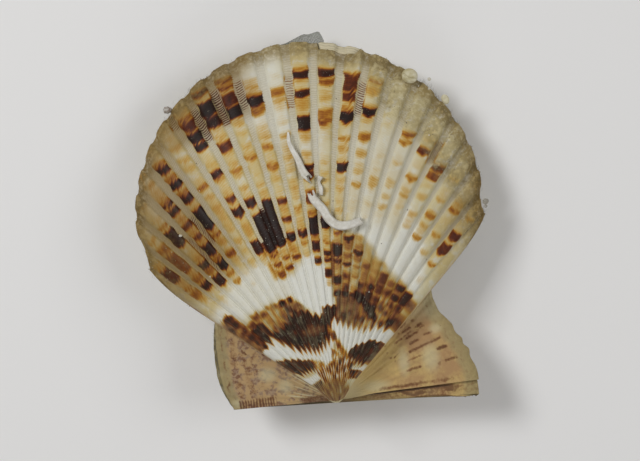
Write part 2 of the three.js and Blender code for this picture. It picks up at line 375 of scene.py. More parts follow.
def outerPoint(column, t, valve):
    x, forward, turn = grow(column, t)
    y = forward * math.cos(turn) - hingeFold(column, t, valve)
    lip = mix(shell["edge"], shell["lip"], smooth(t, 0.975, 1))
    away = shell["gap"] / 2 + lip + forward * math.sin(turn) - checkDepth(column, t)
    away += 0.05 * drift(x * 0.45, y * 0.45, 0)
    riblets = 0.035 * math.sin(column["ear"] * 44) * smooth(column["ear"], 0, 0.1) * smooth(t, 0.1, 0.5)
    z = valve["side"] * (away + riblets) + ribRelief(column, t, valve)
    if not valve["upper"] and column["angle"] > 0:
        z += 0.3 * smooth(column["ear"], 0.75, 1) * smooth(t, 0.35, 0.9)
    return x, y, z


def innerPoint(column, t, valve):
    x, forward, turn = grow(column, t)
    y = forward * max(math.cos(turn), 0.35) - hingeFold(column, t, valve)
    hollow = max(shell["edge"] + forward * math.sin(turn) - shell["wall"], 0) * smooth(t, 0.12, 0.32)
    wave = shell["ribHeight"] * column["rib"] * max(smooth(t, 0.75, 1), t * min(hollow, 1))
    if not valve["upper"] and column["angle"] > 0:
        wave += 0.1 * smooth(column["ear"], 0.75, 1) * smooth(t, 0.35, 0.9)
    return x, y, valve["side"] * (shell["gap"] / 2 + hollow) + wave


# what each valve is made with; rows crowd towards the beak, and the inner rows towards the edge
upperValve = {
    "name": "upperValve", "node": "upper_valve", "slot": "upper_shell", "upper": True, "side": 1,
    "coil": shell["coilUpper"], "rows": 186, "innerRows": 20,
}
lowerValve = {
    "name": "lowerValve", "node": "lower_valve", "slot": "lower_shell", "upper": False, "side": -1,
    "coil": shell["coilLower"], "rows": 170, "innerRows": 24,
}
crowding = {"outer": 1.12, "inner": 1.3}
markLayers = ("tone", "cover", "white", "grey", "silt", "crest", "ear", "inside", "dusk")
growthMapLength = 29
lamellaStep = 0.19


def makeObject(name, bm, material):
    mesh = bpy.data.meshes.new(name)
    bm.to_mesh(mesh)
    bm.free()
    mesh.shade_smooth()
    made = bpy.data.objects.new(name, mesh)
    bpy.context.scene.collection.objects.link(made)
    mesh.materials.append(material)
    return made


def finishPiece(piece, slot, *nodes):
    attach(piece, "root")
    if nodes:
        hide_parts(*nodes)


def closeHole(bm):
    rim = [e for e in bm.edges if e.is_boundary]
    filled = bmesh.ops.holes_fill(bm, edges=rim, sides=0)["faces"]
    bmesh.ops.triangulate(bm, faces=filled, ngon_method="EAR_CLIP")


def makeValve(valve, markings, material):
    columns = edgeColumns(valve)
    rows = [(j / valve["rows"]) ** crowding["outer"] for j in range(valve["rows"] + 1)]
    innerRows = [(1 - j / valve["innerRows"]) ** crowding["inner"] for j in range(valve["innerRows"] + 1)]
    across, along = len(columns) - 1, len(rows) + len(innerRows) - 1
    bm = bmesh.new()
    bmesh.ops.create_grid(bm, x_segments=across, y_segments=along, size=0.5)
    layers = {name: bm.verts.layers.float.new(name) for name in markLayers}
    grown = bm.loops.layers.uv.new("growth")
    places = {}
    for vert in bm.verts:
        i, j = round((vert.co.x + 0.5) * across), round((vert.co.y + 0.5) * along)
        column, inner = columns[i], j >= len(rows)
        t = innerRows[j - len(rows)] if inner else rows[j]
        point = (innerPoint if inner else outerPoint)(column, t, valve)
        vert.co = toWorld(*point)
        vert.co.z = max(vert.co.z, 0)
        places[vert] = (column["place"], t * growthMapLength)
        # parts of the under valve's inside that stand past the upper valve are marked as outside
        seen = not valve["upper"] and column["ear"] > 0.4 and column["angle"] > 0
        seen = seen or not valve["upper"] and column["place"] < 1 and t > 0.85
        vert[layers["inside"]] = 1.0 if inner and not seen else 0.0
        if not inner or seen:
            for name, value in markings(column, t, point).items():
                vert[layers[name]] = value
    for face in bm.faces:
        for loop in face.loops:
            loop[grown].uv = places[loop.vert]
    bmesh.ops.remove_doubles(bm, verts=bm.verts, dist=4e-7)
    closeHole(bm)
    bmesh.ops.recalc_face_normals(bm, faces=bm.faces)
    print(valve["name"], "faces", len(bm.faces), "open edges", sum(e.is_boundary for e in bm.edges))
    piece = makeObject(valve["name"], bm, material)
    finishPiece(piece, valve["slot"], valve["node"])
    return piece


# Markings are placed in plan: degrees round from the beak, positive towards the long ear, and millimetres
# out from it. A tone of 0 is bare shell, then gold, orange, brown and at 1 nearly black.
tones = {
    "faint": 0.16, "tan": 0.22, "gold": 0.3, "orange": 0.46, "rust": 0.56, "brown": 0.7, "dark": 0.86,
    "black": 1.0,
}

# the marks on each rib, from the short ear's side: where each starts and ends, margin side first
ribMarks = {
    0: [(17.9, 16.3, "brown"), (15.4, 15.2, "rust"), (14.9, 14, "orange")],
    1: [(19.2, 18.4, "orange"), (18.2, 16.1, "rust"), (15.5, 14.8, "orange"), (14.6, 13.9, "dark")],
    2: [(20.2, 20, "rust"), (19.6, 17.9, "dark"), (16.6, 16.1, "gold"), (15.9, 15.2, "dark"),
        (15.2, 14.6, "orange"), (14.3, 13.3, "dark")],
    3: [(22.9, 22.1, "tan"), (21.7, 21.3, "orange"), (21.3, 21, "dark"), (20.7, 20.1, "dark"),
        (19.8, 19.3, "gold"), (19.1, 18.5, "brown"), (18.3, 17.9, "gold"), (17.8, 17.4, "brown"),
        (17.2, 16.9, "gold"), (16.8, 15.7, "dark"), (15.5, 15.1, "orange"), (15, 14.2, "black"),
        (13.8, 13.4, "orange"), (12.9, 12.6, "orange")],
    4: [(24.3, 24, "rust"), (23.9, 23.3, "dark"), (22.9, 22.4, "orange"), (22.3, 21.7, "black"),
        (21.3, 20.9, "orange"), (20.9, 20.2, "dark"), (19.4, 17.5, "black"), (17.4, 17, "gold"),
        (16.9, 16.6, "rust"), (16.4, 15.8, "gold"), (15.2, 14.6, "rust"), (14.3, 14.1, "gold")],
    5: [(26.3, 26.1, "tan"), (25.5, 25.3, "tan"), (24.5, 24.3, "gold"), (23.4, 23.2, "gold"),
        (22.5, 22.3, "gold"), (20.8, 20.3, "orange"), (18.9, 18.3, "gold"), (17.8, 17.6, "gold"),
        (17.1, 16.9, "gold"), (16.6, 16.4, "gold"), (15.5, 15.3, "gold")],
    6: [(26.3, 26, "rust"), (25.9, 25, "brown"), (24.8, 24, "black"), (23.8, 23.2, "black"),
        (21.2, 20.6, "dark"), (20.5, 20.3, "orange"), (19.5, 19.3, "gold"), (18.8, 18.3, "brown"),
        (18, 17.9, "gold"), (17.8, 17, "dark"), (16.5, 15.2, "gold"), (14.8, 13.6, "dark")],
    7: [(27.7, 27.2, "brown"), (26.7, 25.5, "black"), (25.4, 24.4, "dark"), (23, 22.2, "brown"),
        (22, 21.9, "gold"), (20.6, 20.3, "orange"), (18, 17.3, "dark"), (16.6, 13.3, "black"),
        (13.1, 12.9, "dark"), (12.8, 12.3, "gold"), (12.3, 12, "brown"), (11.6, 11, "rust")],
    8: [(27.9, 27.5, "rust"), (27.3, 26.9, "rust"), (26.6, 25.6, "brown"), (25.5, 24.5, "black"),
        (24.2, 24, "gold"), (22.1, 21.9, "gold"), (21.2, 20.8, "orange"), (18.8, 18.6, "gold"),
        (17.8, 17.6, "gold"), (17.4, 13.5, "black"), (12.7, 12.3, "rust"), (11.8, 11.4, "brown")],
    9: [(26, 25.7, "orange"), (25.7, 24.9, "black"), (24.8, 24.2, "orange"), (21.6, 21.2, "orange"),
        (20.1, 19.5, "orange"), (18.9, 18.7, "gold"), (17.2, 16.7, "brown"), (16.6, 16, "gold"),
        (15.7, 15.2, "brown"), (14.3, 13.7, "black"), (12.5, 12.1, "brown")],
    10: [(25.9, 25.2, "orange"), (24.6, 24, "faint"), (21.3, 20.5, "tan"), (19.2, 19.1, "gold"),
        (18.3, 18.2, "gold"), (17.7, 17.6, "gold"), (17, 16.9, "gold"), (16.2, 16, "orange"),
        (15.2, 15, "gold"), (14.3, 13.7, "dark"), (13.4, 13.1, "orange"), (12.3, 12.2, "gold")],
    11: [(27.4, 27.2, "rust"), (27.1, 26.4, "dark"), (25.5, 24.9, "dark"), (24.8, 24, "gold"),
        (23.3, 22.2, "black"), (21.6, 21.4, "gold"), (19.4, 18.9, "dark"), (18.9, 18.2, "brown"),
        (17.4, 17, "rust"), (17, 16.3, "brown"), (15.8, 15.4, "orange"), (15.3, 13.8, "black"),
        (13.7, 13.4, "orange"), (13.3, 12.4, "dark"), (11.9, 11.4, "dark")],
    12: [(27.1, 26.5, "dark"), (26.3, 25.8, "rust"), (24.9, 24.4, "tan"), (23.8, 23, "orange"),
        (23, 22.5, "rust"), (15.1, 14.2, "black"), (13.6, 13.3, "gold"), (13.2, 12.9, "orange"),
        (12.4, 12, "dark"), (11.8, 11.5, "dark"), (10.9, 10.2, "dark"), (9.8, 9.6, "gold")],
    13: [(26.8, 25.3, "brown"), (25.2, 24.4, "brown"), (24, 23.7, "orange"), (23.6, 22.8, "black"),
        (22.7, 22.5, "gold"), (21.5, 21.2, "orange"), (20.8, 20.3, "gold"), (19.4, 18.7, "black"),
        (18.1, 17.9, "gold"), (14, 13.6, "rust"), (13.4, 12.9, "gold"), (12.9, 11.9, "black"),
        (11.7, 11.3, "dark"), (11, 10.8, "orange"), (10.3, 9.6, "black"), (9.1, 8.6, "black")],
    14: [(26.4, 26.1, "orange"), (25.8, 25.1, "gold"), (24.2, 24, "orange"), (24, 23.4, "black"),
        (23.1, 22.9, "gold"), (21.9, 21.3, "orange"), (20.5, 20, "gold"), (18.9, 18.7, "gold"),
        (17.8, 17.6, "orange"), (13.6, 13.1, "dark"), (13.1, 12.4, "orange"), (12.2, 11.7, "rust"),
        (11.4, 11.1, "dark"), (9.8, 9.4, "rust"), (9.1, 8.5, "black")],
    15: [(23.2, 22.8, "faint"), (13, 12.5, "orange"), (12.5, 12, "dark"), (12, 11.5, "orange"),
        (11.2, 11, "rust"), (10.4, 10.2, "rust"), (9, 8.6, "dark")],
    16: [(22.7, 22.3, "rust"), (22, 21.7, "orange"), (16.4, 16.2, "gold"), (11.6, 11, "rust"),
        (10.9, 10, "orange"), (9, 8.3, "dark")],
    17: [(22.8, 22.4, "tan"), (21.9, 21.3, "brown"), (19.3, 19, "orange"), (18.2, 18, "gold"),
        (10.6, 10, "orange"), (9.4, 8.4, "dark")],
    18: [(21, 20.4, "brown"), (20.3, 19.6, "rust"), (18.2, 18, "gold"), (11.2, 10.2, "brown"),
        (9.9, 9.3, "brown"), (8.6, 7.7, "dark")],
    19: [(17.2, 16.8, "orange"), (16, 15.8, "gold"), (15.1, 14.8, "orange"), (10.8, 10.2, "rust")],
    20: [(18.5, 18.1, "orange"), (17.6, 17, "faint"), (15.9, 15.7, "orange"), (14.2, 14, "gold"),
        (10.8, 10.2, "dark"), (9.9, 9.3, "dark")],
    21: [(17, 16.2, "brown"), (15.8, 14.7, "brown"), (13.7, 13.5, "rust"), (12.3, 11.7, "faint"),
        (10.6, 9.3, "dark"), (9, 8.3, "brown"), (8, 7, "dark")],
}

# Broader fields of colour, painted one over the other. Each lies between a top and a foot, given as
# (degrees, millimetres) points. tone, white and grey are its colour, mottle varies it rib by rib, comb
# lightens it in the grooves, and streak lets the ribs carry it that much further towards the beak.
fields = [
    {"top": [(-52, 12), (-44, 12.2), (-30, 12.9), (-14, 12.6), (-11, 12)], "foot": [(-52, 10.6),
     (-45, 10.3), (-35, 9.7), (-20, 9.5), (-11, 9.2)], "white": 0.8, "fade": 0.6},
    {"top": [(-15, 11.4), (-10, 12.1), (-3, 12.1), (0, 11.3), (3, 10.5), (6, 9.4)], "foot": [(-15, 9),
     (-10, 8), (-5, 7.4), (0, 7.4), (4, 7.9), (6, 8.6)], "white": 1},
    {"top": [(11, 17.5), (20, 18), (26, 17), (32, 15.5), (38, 13.5), (42, 12)], "foot": [(11, 13),
     (16, 12.4), (22, 11.6), (28, 11.1), (34, 10.6), (42, 10.4)], "white": 0.9, "fade": 0.9},
    {"top": [(-16, 28.6), (-3, 28.9)], "foot": [(-16, 26), (-12, 24), (-8, 21.5), (-3, 21)], "white": 0.7,
     "fade": 1.2},
    {"top": [(-6, 22), (4, 23.4)], "foot": [(-6, 19), (4, 19)], "white": 0.5, "fade": 1.2},
    {"top": [(-38, 25), (-34, 26.2), (-31, 26.8)], "foot": [(-38, 18), (-31, 19.6)], "white": 0.6,
     "fade": 1.0},
    {"top": [(8, 22), (18, 22.5), (26, 20.5)], "foot": [(8, 15), (18, 15), (26, 14)], "white": 0.45,
     "fade": 1.2},
    {"top": [(-52, 7.6), (-40, 7.6), (-30, 6.4), (-15, 5.6), (2, 6.2)], "foot": [(-52, 6.1), (-45, 5.7),
     (-40, 5.2), (-35, 4.8), (-30, 4.4), (-25, 4.2), (-15, 3.6), (2, 3.1)], "white": 1, "streak": 0.3},
    {"top": [(-1, 7.2), (4, 7.4), (7, 7.3), (13, 7.2), (20, 7), (30, 7.4), (46, 8)], "foot": [(-1, 6.2),
     (4, 5.8), (7, 5.4), (10, 5), (13, 4.6), (19, 4.3), (25, 4.9), (30, 5.2), (35, 5.7), (46, 5.9)],
     "white": 1, "streak": 0.3},
    {"top": [(-52, 3.4), (-40, 3), (-30, 2.9), (-20, 3), (-10, 3.1)], "foot": [(-52, 2.5), (-40, 2),
     (-30, 1.8), (-10, 2)], "white": 0.9, "streak": 0.15},
    {"top": [(4, 12.8), (8, 13.7), (14, 13.6), (18, 13), (23, 12), (30, 11.2), (38, 10.9)],
     "foot": [(4, 8.4), (8, 8.3), (38, 8.3)], "tone": 0.24, "grey": 0.35, "mottle": 0.14, "fade": 0.4,
     "comb": 0.1},
    {"top": [(9, 10.6), (14, 10.2), (19, 9.9)], "foot": [(9, 8.3), (19, 8.3)], "tone": 0.5, "grey": 0.2,
     "mottle": 0.3, "fade": 0.4},
    {"top": [(-20, 14), (-12, 13.8), (-7, 13.2)], "foot": [(-20, 11), (-12, 10.9), (-7, 11.6)],
     "tone": 0.24, "mottle": 0.2, "fade": 0.4},
    {"top": [(-50, 9.8), (-40, 9.8), (-30, 9.6), (-21, 9.3)], "foot": [(-50, 7.4), (-40, 7.2), (-30, 6.9),
     (-21, 6.4)], "tone": 0.36, "mottle": 0.22, "streak": 0.5, "grey": 0.3, "comb": 0.3, "tail": 0.4,
     "fade": 0.3},
    {"top": [(-54, 10.9), (-50, 11.2), (-46, 11.3), (-44, 11)], "foot": [(-54, 7.2), (-48, 7.2),
     (-44, 7.1)], "tone": 0.66, "grey": 0.35, "mottle": 0.3, "comb": 0.2, "fade": 0.2},
    {"top": [(-44, 8.9), (-36, 8.9)], "foot": [(-44, 7.3), (-36, 7.4)], "tone": 0.84, "grey": 0.2,
     "mottle": 0.15, "comb": 0.35, "streak": 0.5},
    {"top": [(-23, 9.35), (-20, 9.35)], "foot": [(-23, 8.85), (-20, 8.85)], "tone": 1},
    {"top": [(-18.7, 9.35), (-16.5, 9.35)], "foot": [(-18.7, 8.85), (-16.5, 8.85)], "tone": 1},
    {"top": [(-22, 8.9), (-16, 8.9), (-12, 8.4)], "foot": [(-22, 7.4), (-12, 7.4)], "tone": 0.5,
     "grey": 0.6, "mottle": 0.25, "fade": 0.25},
    {"top": [(-36, 7.5), (-30, 7.4), (-25, 7.6), (-22, 8), (-17, 8.1), (-12, 7.9), (-8, 7.4), (-4, 7.2),
     (2, 7.2)], "foot": [(-36, 6.8), (-31, 6.1), (-28, 5.7), (-24, 5.5), (-20, 5.3), (-15, 5.1), (-10, 5.1),
     (-7, 5.3), (2, 5.7)], "tone": 0.92, "streak": 0.7, "mottle": 0.14, "grey": 0.2, "tail": 1.0,
     "fade": 0.2},
    {"top": [(-19, 6.5), (-12, 6.6), (-3, 6.5)], "foot": [(-19, 6), (-12, 5.8), (-3, 5.9)], "tone": 0.6,
     "grey": 0.9, "fade": 0.35, "comb": 0.3},
    {"top": [(-52, 6), (-45, 5.5), (-40, 5), (-35, 4.7), (-30, 4.3), (-24, 4.1), (-20, 3.6)],
     "foot": [(-52, 4.5), (-45, 3.8), (-40, 3.6), (-35, 3.6), (-25, 3.4), (-20, 3.3)], "tone": 0.84,
     "grey": 0.3, "streak": 0.4, "mottle": 0.16, "tail": 0.5, "comb": 0.2},
    {"top": [(-24, 4.1), (-16, 3.8), (-12, 3.6)], "foot": [(-24, 3.1), (-12, 3.1)], "tone": 0.3,
     "mottle": 0.3, "fade": 0.25},
    {"top": [(-60, 2.4), (-40, 2.3), (-26, 2.3)], "foot": [(-60, 1.5), (-26, 1.6)], "tone": 0.55,
     "grey": 1.0, "mottle": 0.3, "comb": 0.9, "fade": 0.2},
    {"top": [(-2, 7.9), (9, 7.9)], "foot": [(-2, 7.1), (9, 6.9)], "tone": 0.86, "streak": 0.5, "tail": 0.4},
    {"top": [(6, 8.7), (21, 8.7)], "foot": [(6, 6.9), (13, 6.7), (21, 6.5)], "tone": 0.6, "grey": 0.8,
     "mottle": 0.2, "streak": 0.5, "fade": 0.25, "tail": 0.6, "comb": 0.2},
    {"top": [(19, 10.8), (25, 10.3), (33, 10.2), (46, 10.2)], "foot": [(19, 6.7), (25, 6.5), (33, 7.1),
     (46, 7.4)], "tone": 0.48, "mottle": 0.26, "streak": 0.6, "tail": 0.7, "fade": 0.4, "grey": 0.25,
     "comb": 0.25},
    {"top": [(15, 9.2), (18, 9.1), (29, 7.9), (31, 7.6)], "foot": [(15, 8.5), (18, 8.3), (29, 7.3),
     (31, 7.2)], "tone": 0.94, "fade": 0.2},
    {"top": [(37, 8.6), (46, 8.6)], "foot": [(37, 7.2), (46, 7.2)], "tone": 0.7, "mottle": 0.2, "comb": 0.3,
     "grey": 0.3, "streak": 0.4, "fade": 0.25},
    {"top": [(-1, 6.7), (3, 6), (8, 5.1), (13, 4.5), (18, 4.1)], "foot": [(-1, 5.7), (3, 5.2), (8, 4.3),
     (13, 3.8), (18, 3.5)], "tone": 0.5, "mottle": 0.2, "streak": 0.3, "fade": 0.2},
    {"top": [(0, 4.6), (8, 4.2), (12, 3.8)], "foot": [(0, 3), (12, 3)], "tone": 0.2, "white": 0.6,
     "mottle": 0.3},
    {"top": [(19, 4.4), (25, 5), (30, 5.3), (35, 5.8), (46, 6)], "foot": [(19, 3.8), (25, 3.9), (35, 3.9),
     (46, 4)], "tone": 0.84, "grey": 0.35, "streak": 0.4, "mottle": 0.15, "tail": 0.6},
    {"top": [(19, 2.7), (25, 2.8), (35, 3.2), (46, 3.8)], "foot": [(19, 2), (25, 2.2), (35, 2.7),
     (46, 3.1)], "white": 0.9},
    {"top": [(-27, 3.1), (-10, 3.3), (5, 3.6), (18, 3.9), (30, 3.7)], "foot": [(-27, 1.5), (30, 1.6)],
     "tone": 0.4, "white": 0.7, "mottle": 0.3, "comb": 0.6, "streak": 0.5, "fade": 0.3},
    {"top": [(24, 2.9), (46, 3.2)], "foot": [(24, 2.1), (46, 2.4)], "tone": 0.6, "mottle": 0.3,
     "comb": 0.3},
    {"top": [(-75, 1.6), (-50, 1.8), (0, 2), (50, 1.6), (75, 1.4)], "foot": [(-75, -1), (75, -1)],
     "tone": 0.38, "grey": 0.7, "mottle": 0.2, "fade": 0.4},
]

# the ears' strokes and spots: x, y of both ends, half width and tone
earStrokes = [
    (5.76, 5.3, 6.19, 5.57, 0.08, "rust"), (5.95, 4.88, 6.55, 5.21, 0.08, "brown"),
    (7.17, 4.98, 7.68, 5.24, 0.08, "rust"), (6.21, 4.37, 7.07, 4.78, 0.08, "brown"),
    (6.41, 3.94, 7.09, 4.26, 0.08, "rust"), (6.3, 3.25, 8.9, 4.1, 0.09, "brown"),
    (6.45, 3.9, 7.06, 4.15, 0.1, "brown"), (5.2, 4.03, 6.56, 4.87, 0.07, "rust"),
    (6.35, 4.48, 6.87, 4.67, 0.08, "rust"), (7.1, 5.2, 7.45, 5.42, 0.1, "brown"),
    (7.67, 4.5, 8.26, 4.67, 0.09, "brown"), (5.96, 2.47, 7.5, 2.95, 0.07, "rust"),
    (5.96, 1.74, 7.05, 1.94, 0.09, "brown"), (8.67, 3.23, 9.26, 3.37, 0.11, "dark"),
    (9.22, 2.22, 10.06, 2.37, 0.1, "brown"), (8.6, 2.08, 8.66, 2.1, 0.1, "brown"),
    (5.03, 2.91, 5.57, 3.34, 0.05, "rust"), (4.37, 3.97, 4.4, 4, 0.09, "orange"),
    (4.5, 3.36, 4.53, 3.4, 0.08, "orange"), (4.77, 2.92, 4.8, 2.95, 0.08, "rust"),
    (5.07, 2.64, 5.1, 2.66, 0.07, "orange"), (5.76, 5.77, 5.8, 5.8, 0.08, "rust"),
    (6.4, 6.35, 6.42, 6.37, 0.07, "rust"), (5.56, 4.8, 5.6, 4.84, 0.07, "rust"),
    (6.8, 5.72, 6.9, 5.76, 0.1, "rust"), (-5.46, 4.4, -5.43, 4.42, 0.08, "black"),
    (-7.2, 4.9, -6.9, 4.5, 0.07, "brown"),
]
# pale round patches on the ears: x, y, half width and half height
earPatches = [
    (-5.33, 2.7, 0.75, 0.6), (-4.02, 1.6, 0.6, 0.6), (-8.15, 0.6, 0.4, 0.35), (8.0, 2.6, 0.7, 1.1),
    (5.75, 2.5, 0.45, 1.1), (8.6, 4.9, 0.5, 0.4), (3.2, 0.75, 1.2, 0.5),
]
# the short ear's bands: how far in from its margin, half width and tone
earBands = ((0.5, 0.12, 0.5), (1.4, 0.5, 0.4), (2.45, 0.45, 0.36), (3.4, 0.45, 0.28))
# the line where a late pause in growth crosses the silted side, and the silt beyond it
lateGrowth = [
    (10, 27), (14.5, 23.3), (18, 22.8), (22, 22), (25, 21.3), (29, 19.8), (31, 19.3), (36, 18.5), (46, 16),
]

# places where pigment runs over the groove after a rib: rib, its start and end, tone and cover
bridges = [
    (6, 23.3, 26.3, 0.62, 0.55), (7, 23.8, 27, 0.62, 0.6), (8, 24.6, 27.3, 0.5, 0.42),
    (7, 13.4, 16.6, 1.0, 1.0), (5, 25.4, 27, 0.5, 0.4), (3, 16, 19, 0.55, 0.35), (2, 14, 18, 0.5, 0.35),
    (13, 23, 26, 0.5, 0.42), (10, 23.8, 26.6, 0.4, 0.35), (12, 9.5, 13, 0.5, 0.5),
    (17, 20.5, 22.6, 0.5, 0.5),
]

toneStep, toneSteps = 0.05, 640
# small spots scattered along every rib, between its named marks
ribSpots = {"from": 9.5, "to": 27, "length": 0.14, "gap": (0.38, 0.62), "tone": 0.1, "darker": 0.34}


def toneLine(rib):
    # the tone along one rib, at even steps out from the beak: each mark has a gold glow on its margin side
    dice = random.Random(40 + rib)
    marks = [(outer, inner, tones[tone]) for outer, inner, tone in ribMarks[rib]]
    place = ribSpots["from"]
    while place < ribSpots["to"]:
        share = smooth(place, 9, 15) if rib < 13 else smooth(place, 14, 16) * (1 - smooth(place, 20, 23))
        tone = ribSpots["tone"] + ribSpots["darker"] * dice.random() ** 1.6
        marks.append((place + ribSpots["length"], place, tone * share))
        place += dice.uniform(*ribSpots["gap"])
    line = []
    for i in range(toneSteps):
        r = i * toneStep
        tone = 0
        for outer, inner, strength in marks:
            core = smooth(r, inner - 0.2, inner + 0.16) * (1 - smooth(r, outer - 0.16, outer + 0.2))
            glow = smooth(r, inner - 0.4, inner) * (1 - smooth(r, outer, outer + 0.6))
            tone = max(tone, strength * core, min(0.8 * strength, 0.27) * glow)
        line.append(tone)
    return line


def lineAt(line, r):
    place = min(max(r / toneStep, 0), len(line) - 2)
    return mix(line[int(place)], line[int(place) + 1], place % 1)


def paintFields(place, wave, angle, r):
    # tone, white, grey and cover from the broad fields at one spot
    tone, white, grey, cover = 0.0, 0.0, 0.0, 0.0
    for field in fields:
        top, foot = field["top"], field["foot"]
        if not top[0][0] - 2 < angle < top[-1][0] + 2:
            continue
        jag = 0.12 * drift(math.floor(place) * 5.3, len(top), foot[0][1])
        reach = field.get("streak", 0.12) * (wave - 0.5) + jag
        fade = field.get("fade", 0.12)
        tail = field.get("tail", fade)
        low, high = levelAt(foot, angle) - reach, levelAt(top, angle) - 0.5 * reach
        first, last = top[0][0], top[-1][0]
        ends = smooth(angle, first - 1.2, first + 1) * (1 - smooth(angle, last - 1, last + 1.2))
        inside = smooth(r, low - tail, low + fade) * ends
        mask = inside * (1 - smooth(r, high - fade, high + fade))
        if mask <= 0:
            continue
        white = mix(white, field.get("white", 0), mask)
        grey = mix(grey, field.get("grey", 0), mask)
        if "tone" not in field:
            cover = mix(cover, 0, mask)
            tone = mix(tone, 0, smooth(mask, 0.8, 1))
            continue
        patchy = drift(math.floor(place) * 2.7, r * 1.6, top[0][0])
        patchy += 0.5 * drift(place * 2.5, r * 1.9, top[0][0])
        wanted = field["tone"] + 1.8 * field.get("mottle", 0) * patchy
        wanted += field.get("comb", 0) * (wave - 0.5)
        tone = mix(tone, wanted, mask)
        cover = mix(cover, 1, smooth(mask, 0.05, 0.5))
    return tone, white, grey, cover


ribTones = [toneLine(rib) for rib in range(shell["ribs"])]


def distanceTo(x, y, stroke):
    x0, y0, x1, y1 = stroke[:4]
    along = ((x - x0) * (x1 - x0) + (y - y0) * (y1 - y0)) / ((x1 - x0) ** 2 + (y1 - y0) ** 2)
    along = min(max(along, 0), 1)
    return math.hypot(x - mix(x0, x1, along), y - mix(y0, y1, along))


def earMarks(column, t, x, y):
    # on the ears a tone is how thickly the brown specks lie
    tone = max(
        tones[stroke[5]] * (1 - smooth(distanceTo(x, y, stroke), 0.3 * stroke[4], 2.5 * stroke[4]))
        for stroke in earStrokes
    )
    pale = max(
        1 - smooth(math.hypot((x - across) / halfWidth, (y - up) / halfHeight), 0.3, 1.5)
        for across, up, halfWidth, halfHeight in earPatches
    )
    share, fromEdge = column["ear"], (1 - t) * column["radius"]
    waver = 0.3 * drift(share * 7, x * 0.4, 3) + 0.12 * drift(share * 25, x, 4)
    cloudy = drift(x * 1.1, y * 1.1, 5)
    if x < 0:
        # wavy speckled bands keep step with the margin
        for middle, wide, strength in earBands:
            band = bell(fromEdge + waver - middle, wide)
            tone = max(tone, strength * band * (1 + cloudy) * (1 - 0.8 * pale))
        hatch = smooth(y, 1.05, 0.7) * smooth(x, -8.1, -7.8) * (1 - smooth(x, -5.2, -4.4))
        hatch *= 0.62 + 0.3 * math.sin(x * 27 + 3 * cloudy)
        tone = max(tone, hatch, 0.7 * smooth(y, 0.8, 0.4) * smooth(x, -3.4, -2.4))
        streaks = drift(math.atan2(x, y) * 26, t * 3, 2) * smooth(t, 0.5, 0.25)
        streaks *= smooth(t, 0.08, 0.14)
        return {"tone": tone, "cover": 1.0, "white": max(0.6 * pale, smooth(streaks, 0, 0.3)), "ear": 1.0,
                "grey": 0.6 * smooth(-streaks, 0.02, 0.3)}
    clouds = 0.2 * smooth(cloudy, -0.2, 0.5) * smooth(share, 0.1, 0.3)
    tone = max(tone, clouds * (1 - smooth(fromEdge, 5, 8)))
    rim = bell(fromEdge + waver * 0.3 - 0.8, 0.12)
    tone = max(tone, 0.3 * rim) * (1 - 0.6 * pale)
    shadow = bell(y - 0.35 - 0.035 * x, 0.2) * smooth(x, 2.6, 4.2) * (1 - smooth(x, 8.6, 11))
    tone = max(tone, (0.6 + 0.4 * cloudy) * shadow)
    pale = max(pale, 1 - smooth(t, 0.12, 0.3), 0.8 * smooth(y, 5.2, 6.6))
    return {"tone": tone * smooth(t, 0.1, 0.2), "cover": 1.0, "white": 0.6 * pale, "ear": 1.0}


